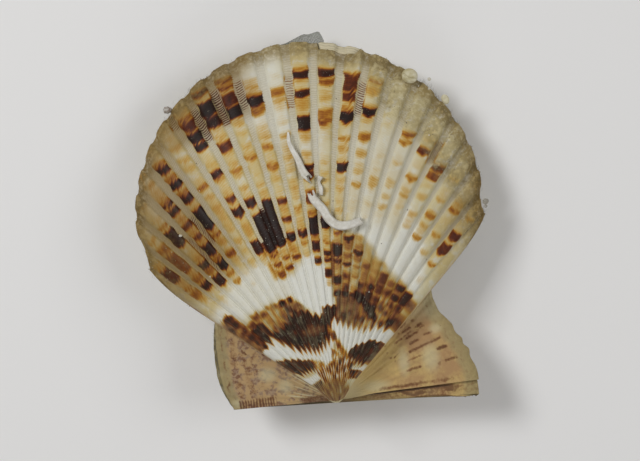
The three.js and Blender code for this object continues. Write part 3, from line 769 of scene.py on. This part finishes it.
def upperMarks(column, t, point):
    x, y = point[:2]
    place = column["place"]
    angle, r = math.degrees(math.atan2(x, y)), math.hypot(x, y)
    if column["ear"] > 0:
        return earMarks(column, t, x, y)
    tone, white, grey, cover = paintFields(place, 1 - abs(2 * (place % 1) - 1), angle, r)
    late = levelAt(lateGrowth, angle)
    silt = 0.9 * smooth(r - late, -0.2, 1.2) * smooth(angle, 8, 16) + 0.55 * smooth(t, 0.94, 0.99)
    silt += 0.4 * smooth(-angle, 28, 44) * smooth(r, 12, 17)
    # painted shade: darker over the flank towards the short ear, the outer part beside it, the flank
    # towards the long ear and the margin
    dusk = smooth(-angle, 20, 33) * smooth(r, 12.2, 15) + 0.5 * smooth(t, 0.94, 0.99)
    dusk += 0.8 * smooth(-angle, 6, 11) * (1 - smooth(-angle, 24, 30)) * smooth(r, 23.4, 24.6)
    dusk = min(dusk + 0.7 * smooth(angle, 31, 42) * smooth(r, 14, 19), 1.2)
    if not 0 < place < shell["ribs"]:
        # the shoulder, where the disc turns down to the ear
        outward = smooth(max(-place, place - shell["ribs"]), 0.1, 0.75)
        streaked = drift(place * 5, t * 9, 4)
        streaked = (0.5 if angle < 0 else 0.25) * smooth(streaked, 0, 0.4) * smooth(t, 0.55, 0.75)
        kept = 1 - outward
        return {
            "tone": max(tone * kept, 0.1 + streaked), "cover": max(cover, outward), "white": white * kept,
            "grey": grey * kept, "silt": min(silt + 0.2, 1), "ear": outward, "crest": 0.75,
            "dusk": dusk * kept,
        }
    phase = place % 1
    off = abs(2 * phase - 1)
    # a mark's ends sag in the middle of the rib, wander, and are eaten away at the sides
    wander = 0.16 * drift(place * 2.4, r * 0.9, 8) + 0.1 * drift(place * 5, r * 3, 9)
    sag = 0.32 * (1 - off * off) * smooth(r, 8, 16) + wander * smooth(r, 9, 14)
    eaten = 0.09 * drift(math.floor(place) * 3.1, r * 1.4, off * phase)
    ribTone = (lineAt(ribTones[int(place)], r + sag) - 0.4 * off**3) * smooth(r, 8.2, 8.8)
    side = mix(0.04, 0.12, smooth(r, 9, 22)) + eaten
    across = smooth(min(phase, 1 - phase), side, side + 0.13)
    for rib, start, end, bridgeTone, bridgeCover in bridges:
        if abs(place - rib - 1) < 0.4:
            share = smooth(r + wander, start - 0.3, start + 0.3)
            share *= 1 - smooth(r + wander, end - 0.4, end + 0.4)
            share *= 1 - smooth(abs(place - rib - 1), 0.14, 0.26)
            across = max(across, bridgeCover * share)
            ribTone = max(ribTone, bridgeTone * share)
    warmth = 0.09 * smooth(r, 11, 14) * (1 - smooth(r, 21, 25)) * (1 - smooth(angle, 8, 20))
    warmth *= max(0.4 + 1.8 * drift(math.floor(place) * 1.7, r * 0.5, 1), 0)
    tone = max(tone, ribTone, warmth * (1 - white))
    # grooves show as fine lines near the beak, and as broad pale bands at the edge
    groove = mix(0.045, 0.15, smooth(r, 8, 22))
    crest = smooth(min(phase, 1 - phase), groove - 0.05, groove + 0.07)
    return {"tone": tone, "cover": max(cover, across), "white": white, "grey": grey, "silt": min(silt, 1),
            "crest": crest, "dusk": dusk}


def lowerMarks(column, t, point):
    # the under valve is paler, with its own scattered marks
    x, y = point[:2]
    place = column["place"]
    if column["ear"] > 0:
        band = drift(column["ear"] * 30, t * 3, 7) + 0.4 * drift(x * 5, y * 5, 7)
        rim = smooth(t, 0.9, 0.94) * smooth(-x, 0, 2)
        tone = 0.5 * smooth(band, -0.3, 0.4) * smooth(t, 0.25, 0.45)
        tone += 0.45 * smooth(column["ear"], 0.75, 0.95) * smooth(x, 2, 4) * (1 - smooth(x, 9, 10.5))
        return {"tone": tone, "cover": 1.0 - rim, "ear": 1.0 - rim, "silt": 0.2, "grey": rim, "inside": 0.0}
    rib = math.floor(place)
    spotted = drift(rib * 3.7, t * 17, 2) + 0.5 * drift(rib * 0.6, t * 5, 9)
    tone = 0.8 * smooth(spotted, 0.3, 0.6) * column["rib"] + 0.25 * smooth(t, 0.1, 0.02)
    marks = {"tone": tone, "cover": 1.0, "white": 0.5 * (1 - t)}
    return {**marks, "silt": 0.35 * smooth(t, 0.8, 1), "crest": column["rib"]}


def toLinear(level):
    share = level / 255
    return share / 12.92 if level < 11 else ((share + 0.055) / 1.055) ** 2.4


def colour(red, green, blue):
    # from the usual 0-255 scale to the linear values that shaders take
    return tuple(toLinear(level) for level in (red, green, blue))


pigmentStops = [(0.0, colour(206, 188, 132)), (0.2, colour(200, 164, 80)), (0.36, colour(180, 124, 42)),
                (0.5, colour(140, 78, 26)), (0.64, colour(96, 42, 18)), (0.8, colour(56, 26, 16)),
                (1.0, colour(36, 24, 20))]

shellLooks = {
    "cream": colour(200, 182, 130),
    "creamLight": colour(210, 200, 162),
    "chalk": colour(208, 205, 190),
    "white": colour(226, 227, 220),
    "groove": colour(208, 203, 188),
    "grooveDark": colour(176, 168, 146),
    "mauve": colour(104, 76, 62),
    "olive": colour(122, 112, 82),
    "veil": colour(126, 116, 90),
    "silt": colour(164, 148, 102),
    "siltPale": colour(190, 178, 138),
    "siltDark": colour(126, 112, 76),
    "earTan": colour(208, 180, 118),
    "earShort": colour(196, 166, 120),
    "earBrown": colour(124, 84, 54),
    "earPink": colour(176, 138, 100),
    "earGrey": colour(160, 138, 122),
    "khaki": colour(166, 152, 110),
    "rim": colour(112, 106, 86),
    "inside": colour(214, 204, 174),
    # the colour multiplied in as painted shade
    "dusk": colour(202, 186, 158),
}


def shellFinish(name, look):
    finish = Finish(name)
    growth = finish.node("ShaderNodeUVMap", {"uv_map": "growth"})
    axes = finish.node("ShaderNodeSeparateXYZ", {}, {0: growth})
    around, grown = axes, Wire(finish, axes.socket.node.outputs[1])
    alongRibs = {0: growth, 1: (1.2, 0.4, 1)}
    stretched = finish.node("ShaderNodeVectorMath", {"operation": "MULTIPLY"}, alongRibs)
    streaks = finish.noise(1.6, 4, 0.6, stretched)
    tone, cover, white, grey = (finish.attribute(key) for key in ("tone", "cover", "white", "grey"))
    silt, crest, ear, inside = (finish.attribute(key) for key in ("silt", "crest", "ear", "inside"))
    dusk = finish.attribute("dusk")
    broad = finish.noise(420, 3)
    blotches = finish.noise(1700, 3, 0.55)
    fine = finish.noise(3200, 4, 0.6)
    grains = finish.noise(9000, 2, 0.6)

    # growth lamellae across the ribs, crisp in the grooves and faint on the crests
    wobble = finish.noise(1300, 2)
    wavy = (grown + wobble * 0.35) * (2 * math.pi / lamellaStep)
    ridges = finish.node("ShaderNodeMath", {"operation": "SINE"}, {0: wavy})
    ridges = ridges * 0.5 + 0.5
    groove = 1 - finish.between(crest, 0.02, 0.55)

    base = finish.blendColour(finish.between(broad, 0.35, 0.65), look["cream"], look["creamLight"])
    chalky = finish.between(blotches + streaks * 0.5, 0.74, 0.98, 0.0, 0.8)
    base = finish.blendColour(chalky, base, look["chalk"])
    grooveColour = finish.blendColour(ridges * 0.7 + fine * 0.4, look["grooveDark"], look["groove"])
    grooveColour = finish.blendColour(white * 0.7, grooveColour, look["chalk"])
    base = finish.blendColour(white * (0.75 + 0.3 * fine), base, look["white"])
    long = finish.between(around, 10, 12)
    earColour = finish.blendColour(long, look["earShort"], look["earTan"])
    rosy = finish.between(broad + fine * 0.4, 0.5, 0.85) * finish.between(grown, 8, 15)
    rosy = rosy * (0.25 + 0.6 * long)
    earColour = finish.blendColour(rosy, earColour, look["earPink"])
    lilac = finish.between(blotches + fine * 0.5, 0.7, 0.9) * (1 - long) * 0.8
    earColour = finish.blendColour(lilac, earColour, look["earGrey"])
    mottled = finish.between(fine * 0.6 + blotches * 0.4, 0.5, 0.62) * (1 - long) * 0.55
    earColour = finish.blendColour(mottled, earColour, look["earBrown"])
    lamellae = finish.between(grown + fine * 0.3, 25.5, 27.1, 0.0, 0.9) * (0.7 + 0.3 * ridges)
    earColour = finish.blendColour(lamellae, earColour, look["khaki"])
    earColour = finish.blendColour(white, earColour, look["creamLight"])
    grooved = groove * (1 - ear) * finish.between(grown, 3, 14, 0.3, 0.7)
    base = finish.blendColour(grooved, base, grooveColour)
    base = finish.blendColour(ear, base, earColour)

    # pigment, with ragged edges; on the ears it lies as specks
    ragged = (fine - 0.5) * 0.24 + (blotches - 0.5) * finish.between(grown, 7, 14, 0.1, 0.3)
    ragged = ragged + (streaks - 0.5) * finish.between(grown, 7, 14, 0.5, 0.1)
    stain = tone + ragged * finish.between(tone, 0.1, 0.6) + (grains - 0.5) * 0.08 + (ridges - 0.5) * 0.04
    specks = finish.between(fine * 0.7 + grains * 0.3 + tone * 0.6, 0.58, 1.0) * 0.85
    stained = finish.ramp(stain * (1 - ear) + (0.42 + 0.3 * tone) * ear, pigmentStops)
    mauve = groove * (1 - ear) * finish.between(grown, 19, 24, 0.0, 0.55) + ear * 0.35
    stained = finish.blendColour(mauve, stained, look["mauve"])
    young = finish.between(grown, 3.5, 5) * (1 - finish.between(grown, 10, 14))
    veiled = (finish.between(streaks + fine * 0.3, 0.62, 0.84) * 0.5 + groove * 0.4) * young * (1 - ear)
    stained = finish.blendColour(veiled, stained, look["veil"])
    combed = (ridges - 0.5) * (0.12 + 0.45 * groove)
    covered = finish.between(cover + combed + (fine - 0.5) * 0.35, 0.25, 0.7)
    strength = finish.between(stain, 0.03, 0.3) * (1 - ear) + specks * ear
    plain = 1 - finish.between(stain, 0.4, 0.7)
    flecks = finish.between(grains * 0.6 + fine * 0.4, 0.6, 0.68)
    flecks = flecks * finish.between(stain, 0.7, 0.9) * (1 - ear)
    base = finish.blendColour(strength * covered, base, stained)
    base = finish.blendColour(flecks * 0.5, base, look["groove"])
    base = finish.blendColour(grey * (0.45 + 0.6 * fine) * (0.25 + 0.75 * plain), base, look["olive"])
    base = finish.blendColour(finish.between(grown, 27, 27.5) * grey * (1 - ear), base, look["rim"])

    # silt in drifts, and the worn, darker margin; the margin and the flanks are also darkened by painted
    # shade
    margin = finish.between(grown, 26.9, 29, 0.0, 0.7)
    drifts = finish.noise(900, 5, 0.65)
    dirt = silt * finish.between(drifts * 0.7 + fine * 0.5, 0.42, 0.72)
    dirt = dirt + margin * finish.between(fine, 0.3, 0.6)
    lightDirt = finish.between(fine * 0.5 + broad * 0.5, 0.38, 0.62)
    dirtColour = finish.blendColour(lightDirt, look["siltDark"], look["silt"])
    dirtColour = finish.blendColour(finish.between(drifts, 0.52, 0.66), dirtColour, look["siltPale"])
    base = finish.blendColour(dirt * 0.85, base, dirtColour)
    # painted shade, multiplied over the base on the flanks and the margin
    base = finish.blendColour(dusk * (0.75 + 0.5 * broad), base, look["dusk"], "MULTIPLY")
    base = finish.blendColour(inside, base, look["inside"])

    riblets = finish.node("ShaderNodeMath", {"operation": "SINE"}, {0: around * 22}) * ear
    heights = ridges * (0.25 + 0.75 * groove) + grains * 0.15 + silt * (fine + drifts) * 0.9 + riblets * 0.5
    finish.set(
        Base_Color=base,
        Roughness=0.46 + 0.25 * silt + 0.12 * fine + 0.08 * groove,
        Normal=finish.bump(heights, 0.00003, 0.7),
    )
    finish.shader.inputs["IOR"].default_value = 1.5
    finish.shader.inputs["Specular IOR Level"].default_value = 0.2
    return finish.material


upper = makeValve(upperValve, upperMarks, shellFinish("upperShell", shellLooks))
makeValve(lowerValve, lowerMarks, shellFinish("lowerShell", shellLooks))


# What grows on the shell and clings to it. surfaceAt finds the upper valve's outside straight below a spot.
upperTree = BVHTree.FromObject(upper, bpy.context.evaluated_depsgraph_get())
downwards = -(tipped.to_3x3() @ Vector((0, 0, 1))).normalized()
fromWorld = tipped.inverted()


def surfaceAt(x, y, fallback=0.2):
    hit = upperTree.ray_cast(toWorld(x, y, 20), downwards)[0]
    return (fromWorld @ hit).z if hit else fallback


def limeFinish(name, light, shade, scale):
    finish = Finish(name)
    fine = finish.noise(scale, 4, 0.6)
    broad = finish.noise(scale / 5, 2)
    base = finish.blendColour(finish.between(fine * 0.6 + broad * 0.4, 0.35, 0.65), shade, light)
    finish.set(Base_Color=base, Roughness=0.5 + 0.25 * fine, Normal=finish.bump(fine, 0.00002, 0.6))
    return finish.material


# worm tubes: limy, with two keels along the top, lying across the rib crests
wormTubes = {
    "worm_tube_upper": {
        "path": [(-1.42, 21.9), (-1.4, 20.93), (-0.88, 19.6), (-0.61, 18.67), (-0.18, 17.95)],
        "radii": [0.08, 0.16, 0.23, 0.28, 0.3], "broken": (0.0, 0.5), "steps": 60},
    "worm_tube_lower": {
        "path": [(-0.2, 17.0), (0.0, 16.35), (0.63, 15.47), (1.03, 14.66), (1.69, 14.1), (2.57, 14.04),
                 (3.6, 14.3)],
        "radii": [0.27, 0.31, 0.33, 0.33, 0.34, 0.32, 0.27], "broken": (0.55, 0.12), "steps": 90},
    "worm_tube_stub": {
        "path": [(0.75, 18.12), (0.66, 17.95), (0.56, 17.65), (0.64, 17.16), (0.62, 16.6)],
        "radii": [0.2, 0.19, 0.11, 0.17, 0.13], "broken": (0.05, 0.1), "steps": 40},
    "sides": 28,
    "bore": 0.6,
    "keel": 0.34,
}


def tubeRing(tube, share):
    # the middle, its sideways direction and radius at a share of the way along
    x, y = curveThrough(tube["path"], share)
    xNext, yNext = curveThrough(tube["path"], min(share + 0.02, 1))
    xLast, yLast = curveThrough(tube["path"], max(share - 0.02, 0))
    forward = Vector((xNext - xLast, yNext - yLast, 0)).normalized()
    radius = curveThrough([(r,) for r in tube["radii"]], share)[0]
    return Vector((x, y, 0)), forward, radius


def makeWormTube(node, tube, material):
    steps, sides = tube["steps"], wormTubes["sides"]
    rings = [tubeRing(tube, i / steps) for i in range(steps + 1)]
    crests = []
    for middle, forward, radius in rings:
        aside = Vector((forward.y, -forward.x, 0))
        spots = [
            middle + aside * radius * k * 1.2 + forward * ahead
            for k in (-1, -0.5, 0, 0.5, 1) for ahead in (-0.3, 0, 0.3)
        ]
        crests.append(max(surfaceAt(p.x, p.y) for p in spots))
    nearby = [crests[max(i - 6, 0):i + 7] for i in range(len(crests))]
    levels = [sum(heights) / len(heights) for heights in nearby]
    # rows run along the outside, back along the bore, and close on the first
    rows = [(i, 1) for i in range(steps + 1)] + [(i, 0) for i in range(steps, -1, -1)] + [(0, 1)]
    bm = bmesh.new()
    bmesh.ops.create_grid(bm, x_segments=sides, y_segments=len(rows) - 1, size=0.5)
    for vert in bm.verts:
        k, j = round((vert.co.x + 0.5) * sides), round((vert.co.y + 0.5) * (len(rows) - 1))
        ring, outside = rows[j]
        middle, forward, radius = rings[ring]
        aside = Vector((forward.y, -forward.x, 0))
        a = 2 * math.pi * k / sides
        keels = bell(a - math.radians(58), 0.3) + bell(a - math.radians(122), 0.3)
        flare = max(-math.sin(a), 0) ** 2
        growth = 0.02 * drift(ring * 0.3, radius * 40, 2)
        swell = 1 + wormTubes["keel"] * keels + 0.12 * flare + growth
        size = radius * (swell if outside else wormTubes["bore"])
        centre = middle + Vector((0, 0, levels[ring] + radius * 0.95))
        # broken mouths are ragged
        ragged = 0.5 + 1.3 * drift(math.cos(a) * 1.6, math.sin(a) * 1.6, radius * 30)
        near = [smooth(ring / steps, 0.12, 0), smooth(ring / steps, 0.88, 1)]
        shift = tube["broken"][0] * near[0] * ragged - tube["broken"][1] * near[1] * ragged
        spot = centre + aside * math.cos(a) * size * 1.08 + Vector((0, 0, math.sin(a) * size))
        vert.co = toWorld(*(spot + forward * shift))
    bmesh.ops.remove_doubles(bm, verts=bm.verts, dist=1e-7)
    bmesh.ops.recalc_face_normals(bm, faces=bm.faces)
    finishPiece(makeObject(node.replace("_", "-"), bm, material), "worm_tube", node)


tubeFinish = limeFinish("wormTubeLime", colour(226, 224, 216), colour(200, 195, 182), 3000)
for node in ("worm_tube_upper", "worm_tube_lower", "worm_tube_stub"):
    makeWormTube(node, wormTubes[node], tubeFinish)
print("worm tubes made")

# small domed growths at the edge: where, half sizes, and how they are turned
growths = {
    "bead_upper": {"at": (8.83, 25.46, 1.28), "radii": (0.62, 0.57, 0.44), "slot": "bead", "turned": -28},
    "bead_right": {"at": (11.53, 23.3, 0.55), "radii": (0.31, 0.42, 0.28), "slot": "bead", "turned": 18},
    "clear_bead": {"at": (13.88, 14.7, 0.2), "radii": (0.26, 0.26, 0.26), "slot": "clear_growth",
                   "turned": 0},
    "nub_left": {"at": (-11.0, 25.0, 0.2), "radii": (0.38, 0.28, 0.26), "slot": "clear_growth",
                 "turned": -8},
}


def growthShape(node, p):
    # p is on a ball of radius 1
    p = p.copy()
    if node == "bead_upper":
        # a thick curled rim over a sunken crescent slot
        slot = bell(p.y + 0.42 - 0.35 * p.x * p.x, 0.13) * smooth(p.z, 0.1, 0.5)
        rim = 0.08 * math.sin(7 * math.atan2(p.x, p.y) + 5 * p.z)
        p *= 1 - 0.3 * slot + 0.05 * rim
        p *= 1 + 0.06 * smooth(math.hypot(p.x, p.y), 0.5, 0.7)
    elif node == "bead_right":
        dish = bell(p.x - 0.1, 0.45) * bell(p.y + 0.05, 0.55) * smooth(p.z, 0.2, 0.7)
        p *= 1 - 0.28 * dish
    elif node == "nub_left":
        p *= 1 + 0.07 * math.sin(9 * p.x) + 0.1 * noise.noise(p * 1.5)
        p.x = p.x - 0.16 * (p.y * p.y)
    else:
        p *= 1 + 0.04 * noise.noise(p * 2)
    return p


def makeGrowth(node, growth, material):
    bm = bmesh.new()
    bmesh.ops.create_icosphere(bm, subdivisions=5, radius=1)
    for vert in bm.verts:
        vert.co = growthShape(node, vert.co)
    if node == "clear_bead":
        # a second, smaller bead below it
        made = bmesh.ops.create_icosphere(bm, subdivisions=4, radius=0.55)["verts"]
        bmesh.ops.translate(bm, verts=made, vec=(-0.1, -1.45, -0.2))
    if node == "bead_upper":
        # a pale splinter in the slot
        cone = {"segments": 10, "radius1": 0.17, "radius2": 0.03, "depth": 0.95}
        made = bmesh.ops.create_cone(bm, cap_ends=True, **cone)["verts"]
        bmesh.ops.rotate(bm, verts=made, matrix=Matrix.Rotation(math.radians(90), 3, "Y"))
        bmesh.ops.translate(bm, verts=made, vec=(0.1, -0.62, 0.72))
    bmesh.ops.scale(bm, verts=bm.verts, vec=growth["radii"])
    bmesh.ops.rotate(bm, verts=bm.verts, matrix=Matrix.Rotation(math.radians(growth["turned"]), 3, "Z"))
    bmesh.ops.translate(bm, verts=bm.verts, vec=growth["at"])
    bmesh.ops.transform(bm, matrix=tipped, verts=bm.verts)
    bmesh.ops.recalc_face_normals(bm, faces=bm.faces)
    finishPiece(makeObject(node.replace("_", "-"), bm, material), growth["slot"], node)


def clearFinish(name, tint, rough, through):
    finish = Finish(name)
    cloudy = finish.noise(4000, 3)
    base = finish.blendColour(finish.between(cloudy, 0.35, 0.7), tint, colour(214, 212, 204))
    finish.set(Base_Color=base, Roughness=rough + 0.15 * cloudy, Normal=finish.bump(cloudy, 0.00001, 0.4))
    finish.shader.inputs["Transmission Weight"].default_value = through
    finish.shader.inputs["IOR"].default_value = 1.45
    return finish.material


beadFinish = limeFinish("beadLime", colour(216, 210, 184), colour(176, 164, 118), 2200)
clearGlow = clearFinish("clearGrowth", colour(190, 184, 170), 0.12, 0.75)
nubFinish = clearFinish("nubGrowth", colour(150, 132, 118), 0.3, 0.25)
for node, growth in growths.items():
    makeGrowth(node, growth, {"clear_bead": clearGlow, "nub_left": nubFinish}.get(node, beadFinish))
print("small growths made")

# a thin clear flake caught between the valves, drawn into slanting striae
flake = {
    "foot": [(-1.7, 29.1), (-0.4, 29.05), (1.0, 29.05), (2.25, 29.0)],
    "top": [(-1.55, 29.25), (-0.85, 29.35), (0.2, 29.75), (0.65, 29.9), (1.1, 29.87), (1.86, 30.0),
            (2.1, 29.7), (2.28, 29.23)],
    "level": 0.02,
    "thickness": 0.035,
    "across": 90,
    "along": 24,
}


def makeFlake(material):
    bm = bmesh.new()
    across, along = flake["across"], flake["along"]
    bmesh.ops.create_grid(bm, x_segments=across, y_segments=along, size=0.5)
    for vert in bm.verts:
        u, v = vert.co.x + 0.5, vert.co.y + 0.5
        foot, top = Vector(curveThrough(flake["foot"], u)), Vector(curveThrough(flake["top"], u))
        spot = foot.lerp(top, v)
        striae = math.sin((spot.x - 0.75 * spot.y) * 26) + 0.6 * math.sin((spot.x - 0.8 * spot.y) * 61)
        wave = 0.014 * striae + 0.05 * drift(spot.x * 1.3, spot.y * 1.3, 0)
        vert.co = toWorld(spot.x, spot.y, flake["level"] + wave + 0.1 * v * v * math.sin(u * 5))
    bmesh.ops.solidify(bm, geom=bm.faces[:], thickness=flake["thickness"] * mm)
    bmesh.ops.recalc_face_normals(bm, faces=bm.faces)
    finishPiece(makeObject("ventral-flake", bm, material), "flake", "ventral_flake")


def flakeFinish():
    finish = Finish("flakeSkin")
    slant = {"Vector": finish.objectPlace, "Rotation": (0, 0, math.radians(-40)), "Scale": (600, 9000, 600)}
    slanted = finish.node("ShaderNodeMapping", {}, slant)
    fibres = finish.noise(1.0, 3, 0.6, slanted)
    cloudy = finish.noise(1500, 3)
    shade = finish.between(fibres * 0.6 + cloudy * 0.4, 0.38, 0.62)
    base = finish.blendColour(shade, colour(96, 96, 84), colour(158, 160, 152))
    finish.set(
        Base_Color=base,
        Roughness=0.25 + 0.3 * fibres,
        Alpha=0.4 + 0.4 * shade,
        Normal=finish.bump(fibres, 0.00002, 0.7),
    )
    finish.shader.inputs["IOR"].default_value = 1.5
    return finish.material


makeFlake(flakeFinish())

# the ligament: a thin horny cord between the ears, tucked in at the hinge
ligament = {"from": -7.6, "to": 9.4, "y": 0.13, "z": 0.0, "radius": 0.07, "sides": 12, "steps": 120}


def makeLigament():
    bm = bmesh.new()
    sides, steps = ligament["sides"], ligament["steps"]
    bmesh.ops.create_grid(bm, x_segments=sides, y_segments=steps, size=0.5)
    for vert in bm.verts:
        a, along = 2 * math.pi * (vert.co.x + 0.5), vert.co.y + 0.5
        size = ligament["radius"] * math.sin(math.pi * min(max(along, 0), 1)) ** 0.3
        size *= 1 + 0.25 * drift(along * 60, math.cos(a), math.sin(a))
        x = mix(ligament["from"], ligament["to"], along)
        vert.co = toWorld(x, ligament["y"] + size * math.cos(a), ligament["z"] + size * math.sin(a) * 0.9)
    bmesh.ops.remove_doubles(bm, verts=bm.verts, dist=1e-7)
    bmesh.ops.recalc_face_normals(bm, faces=bm.faces)
    finish = Finish("ligamentHorn")
    fine = finish.noise(5000, 4, 0.6)
    base = finish.blendColour(fine, colour(46, 28, 18), colour(104, 74, 48))
    finish.set(Base_Color=base, Roughness=0.35 + 0.3 * fine, Normal=finish.bump(fine, 0.00003, 0.7))
    finishPiece(makeObject("hinge-ligament", bm, finish.material), "ligament", "hinge_ligament")


makeLigament()
print("flake and ligament made")

# silt grains, thickest where the valve is silted, with a few pale chips and black specks
grains = {
    "count": 1500,
    "sizes": (0.018, 0.05),
    "chips": [(-10.97, 14.7, 0.2), (-2.1, 11.35, 0.15), (10.43, 25.1, 0.18), (10.3, 24.3, 0.1),
              (9.5, 24.6, 0.07),
              (-8.9, 11.2, 0.09), (-5.6, 9.6, 0.07), (3.5, 8.6, 0.06), (9.8, 20.5, 0.07),
              (-9.0, 18.1, 0.06)],
    "specks": [(-1.37, 24.34), (-9.04, 20.34), (2.71, 24.23), (8.1, 21.66), (7.32, 14.7), (1.49, 16.05),
               (4.91, 12.29),
               (8.42, 10.6), (-5.46, 4.4), (2.3, 25.3)],
}


def grainTemplate():
    bm = bmesh.new()
    bmesh.ops.create_icosphere(bm, subdivisions=1, radius=1)
    mesh = bpy.data.meshes.new("grainTemplate")
    bm.to_mesh(mesh)
    bm.free()
    return mesh


grainMesh = grainTemplate()


def makeGrains(name, material, spots):
    bm = bmesh.new()
    dice = random.Random(7)
    for spot in spots:
        bm.from_mesh(grainMesh)
    bm.verts.ensure_lookup_table()
    each = len(grainMesh.vertices)
    for i, (x, y, z, size) in enumerate(spots):
        turned = Matrix.Rotation(dice.uniform(0, 6.28), 3, "Z")
        shape = Vector((size * dice.uniform(0.7, 1.4), size, size * 0.6))
        for vert in bm.verts[i * each:(i + 1) * each]:
            lumpy = vert.co * dice.uniform(0.7, 1.2)
            vert.co = Vector((x, y, z)) + turned @ (lumpy * shape)
    bmesh.ops.transform(bm, matrix=tipped, verts=bm.verts)
    bmesh.ops.recalc_face_normals(bm, faces=bm.faces)
    piece = makeObject(name, bm, material)
    piece.data.shade_flat()
    finishPiece(piece, "silt")


def siltSpots():
    dice = random.Random(11)
    mesh = upper.data
    silt, inside = mesh.attributes["silt"].data, mesh.attributes["inside"].data
    indices = range(len(mesh.vertices))
    outer = [i for i in indices if inside[i].value == 0 and silt[i].value > 0.25]
    spots = []
    while len(spots) < grains["count"]:
        index = dice.choice(outer)
        if dice.random() < silt[index].value ** 2:
            x, y, z = fromWorld @ mesh.vertices[index].co
            jitter = (dice.uniform(-0.06, 0.06), dice.uniform(-0.06, 0.06))
            size = mix(*grains["sizes"], dice.random() ** 3)
            spots.append((x + jitter[0], y + jitter[1], z + 0.2 * size, size))
    return spots


siltFinish = limeFinish("siltGrain", colour(170, 154, 116), colour(104, 92, 66), 6000)
chipFinish = limeFinish("paleChip", colour(232, 228, 214), colour(190, 184, 166), 6000)
speckFinish = limeFinish("darkSpeck", colour(34, 28, 24), colour(20, 16, 14), 6000)
makeGrains("silt", siltFinish, siltSpots())
makeGrains("pale-chips", chipFinish, [(x, y, surfaceAt(x, y) + 0.02, size) for x, y,
                                      size in grains["chips"]])
makeGrains("dark-specks", speckFinish, [(x, y, surfaceAt(x, y), 0.05) for x, y in grains["specks"]])

# fine fuzz rooted on the free edges: tufts by degrees round, spread in degrees, count and length
fuzz = {
    "tufts": [(-24, 2.2, 70, 0.5), (-20, 2, 50, 0.45), (-12, 2, 20, 0.3), (-36, 3, 40, 0.35),
              (-46, 1.5, 60, 0.45),
              (-48.5, 1, 40, 0.4), (-53, 3, 60, 0.3), (-62, 5, 40, 0.2), (23, 1.6, 110, 0.6),
              (27, 2, 70, 0.45),
              (36, 1.5, 60, 0.45), (39, 1.5, 60, 0.5), (44, 1.2, 90, 0.45), (14, 2, 24, 0.25),
              (2, 3, 24, 0.22)],
    "radius": 0.009,
    "joints": 5,
}


def makeFuzz():
    dice = random.Random(23)
    margin = sorted((column["angle"], column["radius"]) for column in edgeColumns(lowerValve))
    strands = []
    for angle, spread, count, length in fuzz["tufts"]:
        for i in range(count):
            rooted = angle + dice.gauss(0, spread)
            a, r = math.radians(rooted), levelAt(margin, rooted) - 0.06
            root = Vector((r * math.sin(a), r * math.cos(a), dice.uniform(-0.2, 0.25)))
            strands.append((root, a + dice.gauss(0, 0.8), dice.gauss(0, 1.4), dice.uniform(-0.5, 0.5),
                            length * dice.uniform(0.25, 1.1)))
    # one long grid, cut across between the strands
    rows = fuzz["joints"] + 1
    bm = bmesh.new()
    last = rows * len(strands) - 1
    bmesh.ops.create_grid(bm, x_segments=3, y_segments=last, size=0.5)
    rowOf = {vert: round((vert.co.y + 0.5) * last) for vert in bm.verts}
    between = [f for f in bm.faces if len({rowOf[v] // rows for v in f.verts}) > 1]
    bmesh.ops.delete(bm, geom=between, context="FACES")
    for vert in bm.verts:
        root, heading, curl, lift, length = strands[rowOf[vert] // rows]
        turn, s = 2 * math.pi * (vert.co.x + 0.5), (rowOf[vert] % rows) / fuzz["joints"]
        size = fuzz["radius"] * math.sin(math.pi * (0.12 + 0.88 * s)) if 0 < s < 1 else 0
        bend = heading + curl * s
        middle = Vector((math.sin(bend), math.cos(bend), lift)) * s * length
        vert.co = root + middle + Vector((math.cos(bend) * math.cos(turn), 0, math.sin(turn))) * size
    bmesh.ops.remove_doubles(bm, verts=bm.verts, dist=1e-5)
    bmesh.ops.recalc_face_normals(bm, faces=bm.faces)
    bmesh.ops.transform(bm, matrix=tipped, verts=bm.verts)
    finish = Finish("fuzzStrand")
    fine = finish.noise(3000, 2)
    base = finish.blendColour(fine, colour(120, 118, 108), colour(172, 168, 154))
    finish.set(Base_Color=base, Roughness=0.6 + 0.2 * fine)
    finishPiece(makeObject("fuzz", bm, finish.material), "fuzz")


makeFuzz()
print("silt and fuzz made")


# a pale floor and soft light
stage = {"floor": 0.6, "floorColour": (0.86, 0.86, 0.86)}


def makeFloor():
    bm = bmesh.new()
    bmesh.ops.create_grid(bm, x_segments=2, y_segments=2, size=stage["floor"])
    finish = Finish("floor")
    finish.set(Base_Color=stage["floorColour"], Roughness=0.8)
    floor = makeObject("floor", bm, finish.material)


def makeLight(name, at, size, watts):
    data = bpy.data.lights.new(name, "AREA")
    data.size = size
    data.energy = watts
    light = bpy.data.objects.new(name, data)
    light.location = at
    light.rotation_euler = (-Vector(at)).to_track_quat("-Z", "Y").to_euler()
    bpy.context.scene.collection.objects.link(light)


makeFloor()
makeLight("key", (-0.16, 0.14, 0.24), 0.1, 0.5)
makeLight("fill", (0.22, 0.02, 0.2), 0.16, 0.2)
makeLight("low", (0.0, -0.25, 0.12), 0.12, 0.11)
world = bpy.data.worlds.new("world")
world.use_nodes = True
world.node_tree.nodes["Background"].inputs[0].default_value = (1, 0.97, 0.93, 1)
world.node_tree.nodes["Background"].inputs[1].default_value = 0.22
bpy.context.scene.world = world
bpy.context.scene.view_settings.view_transform = "Standard"
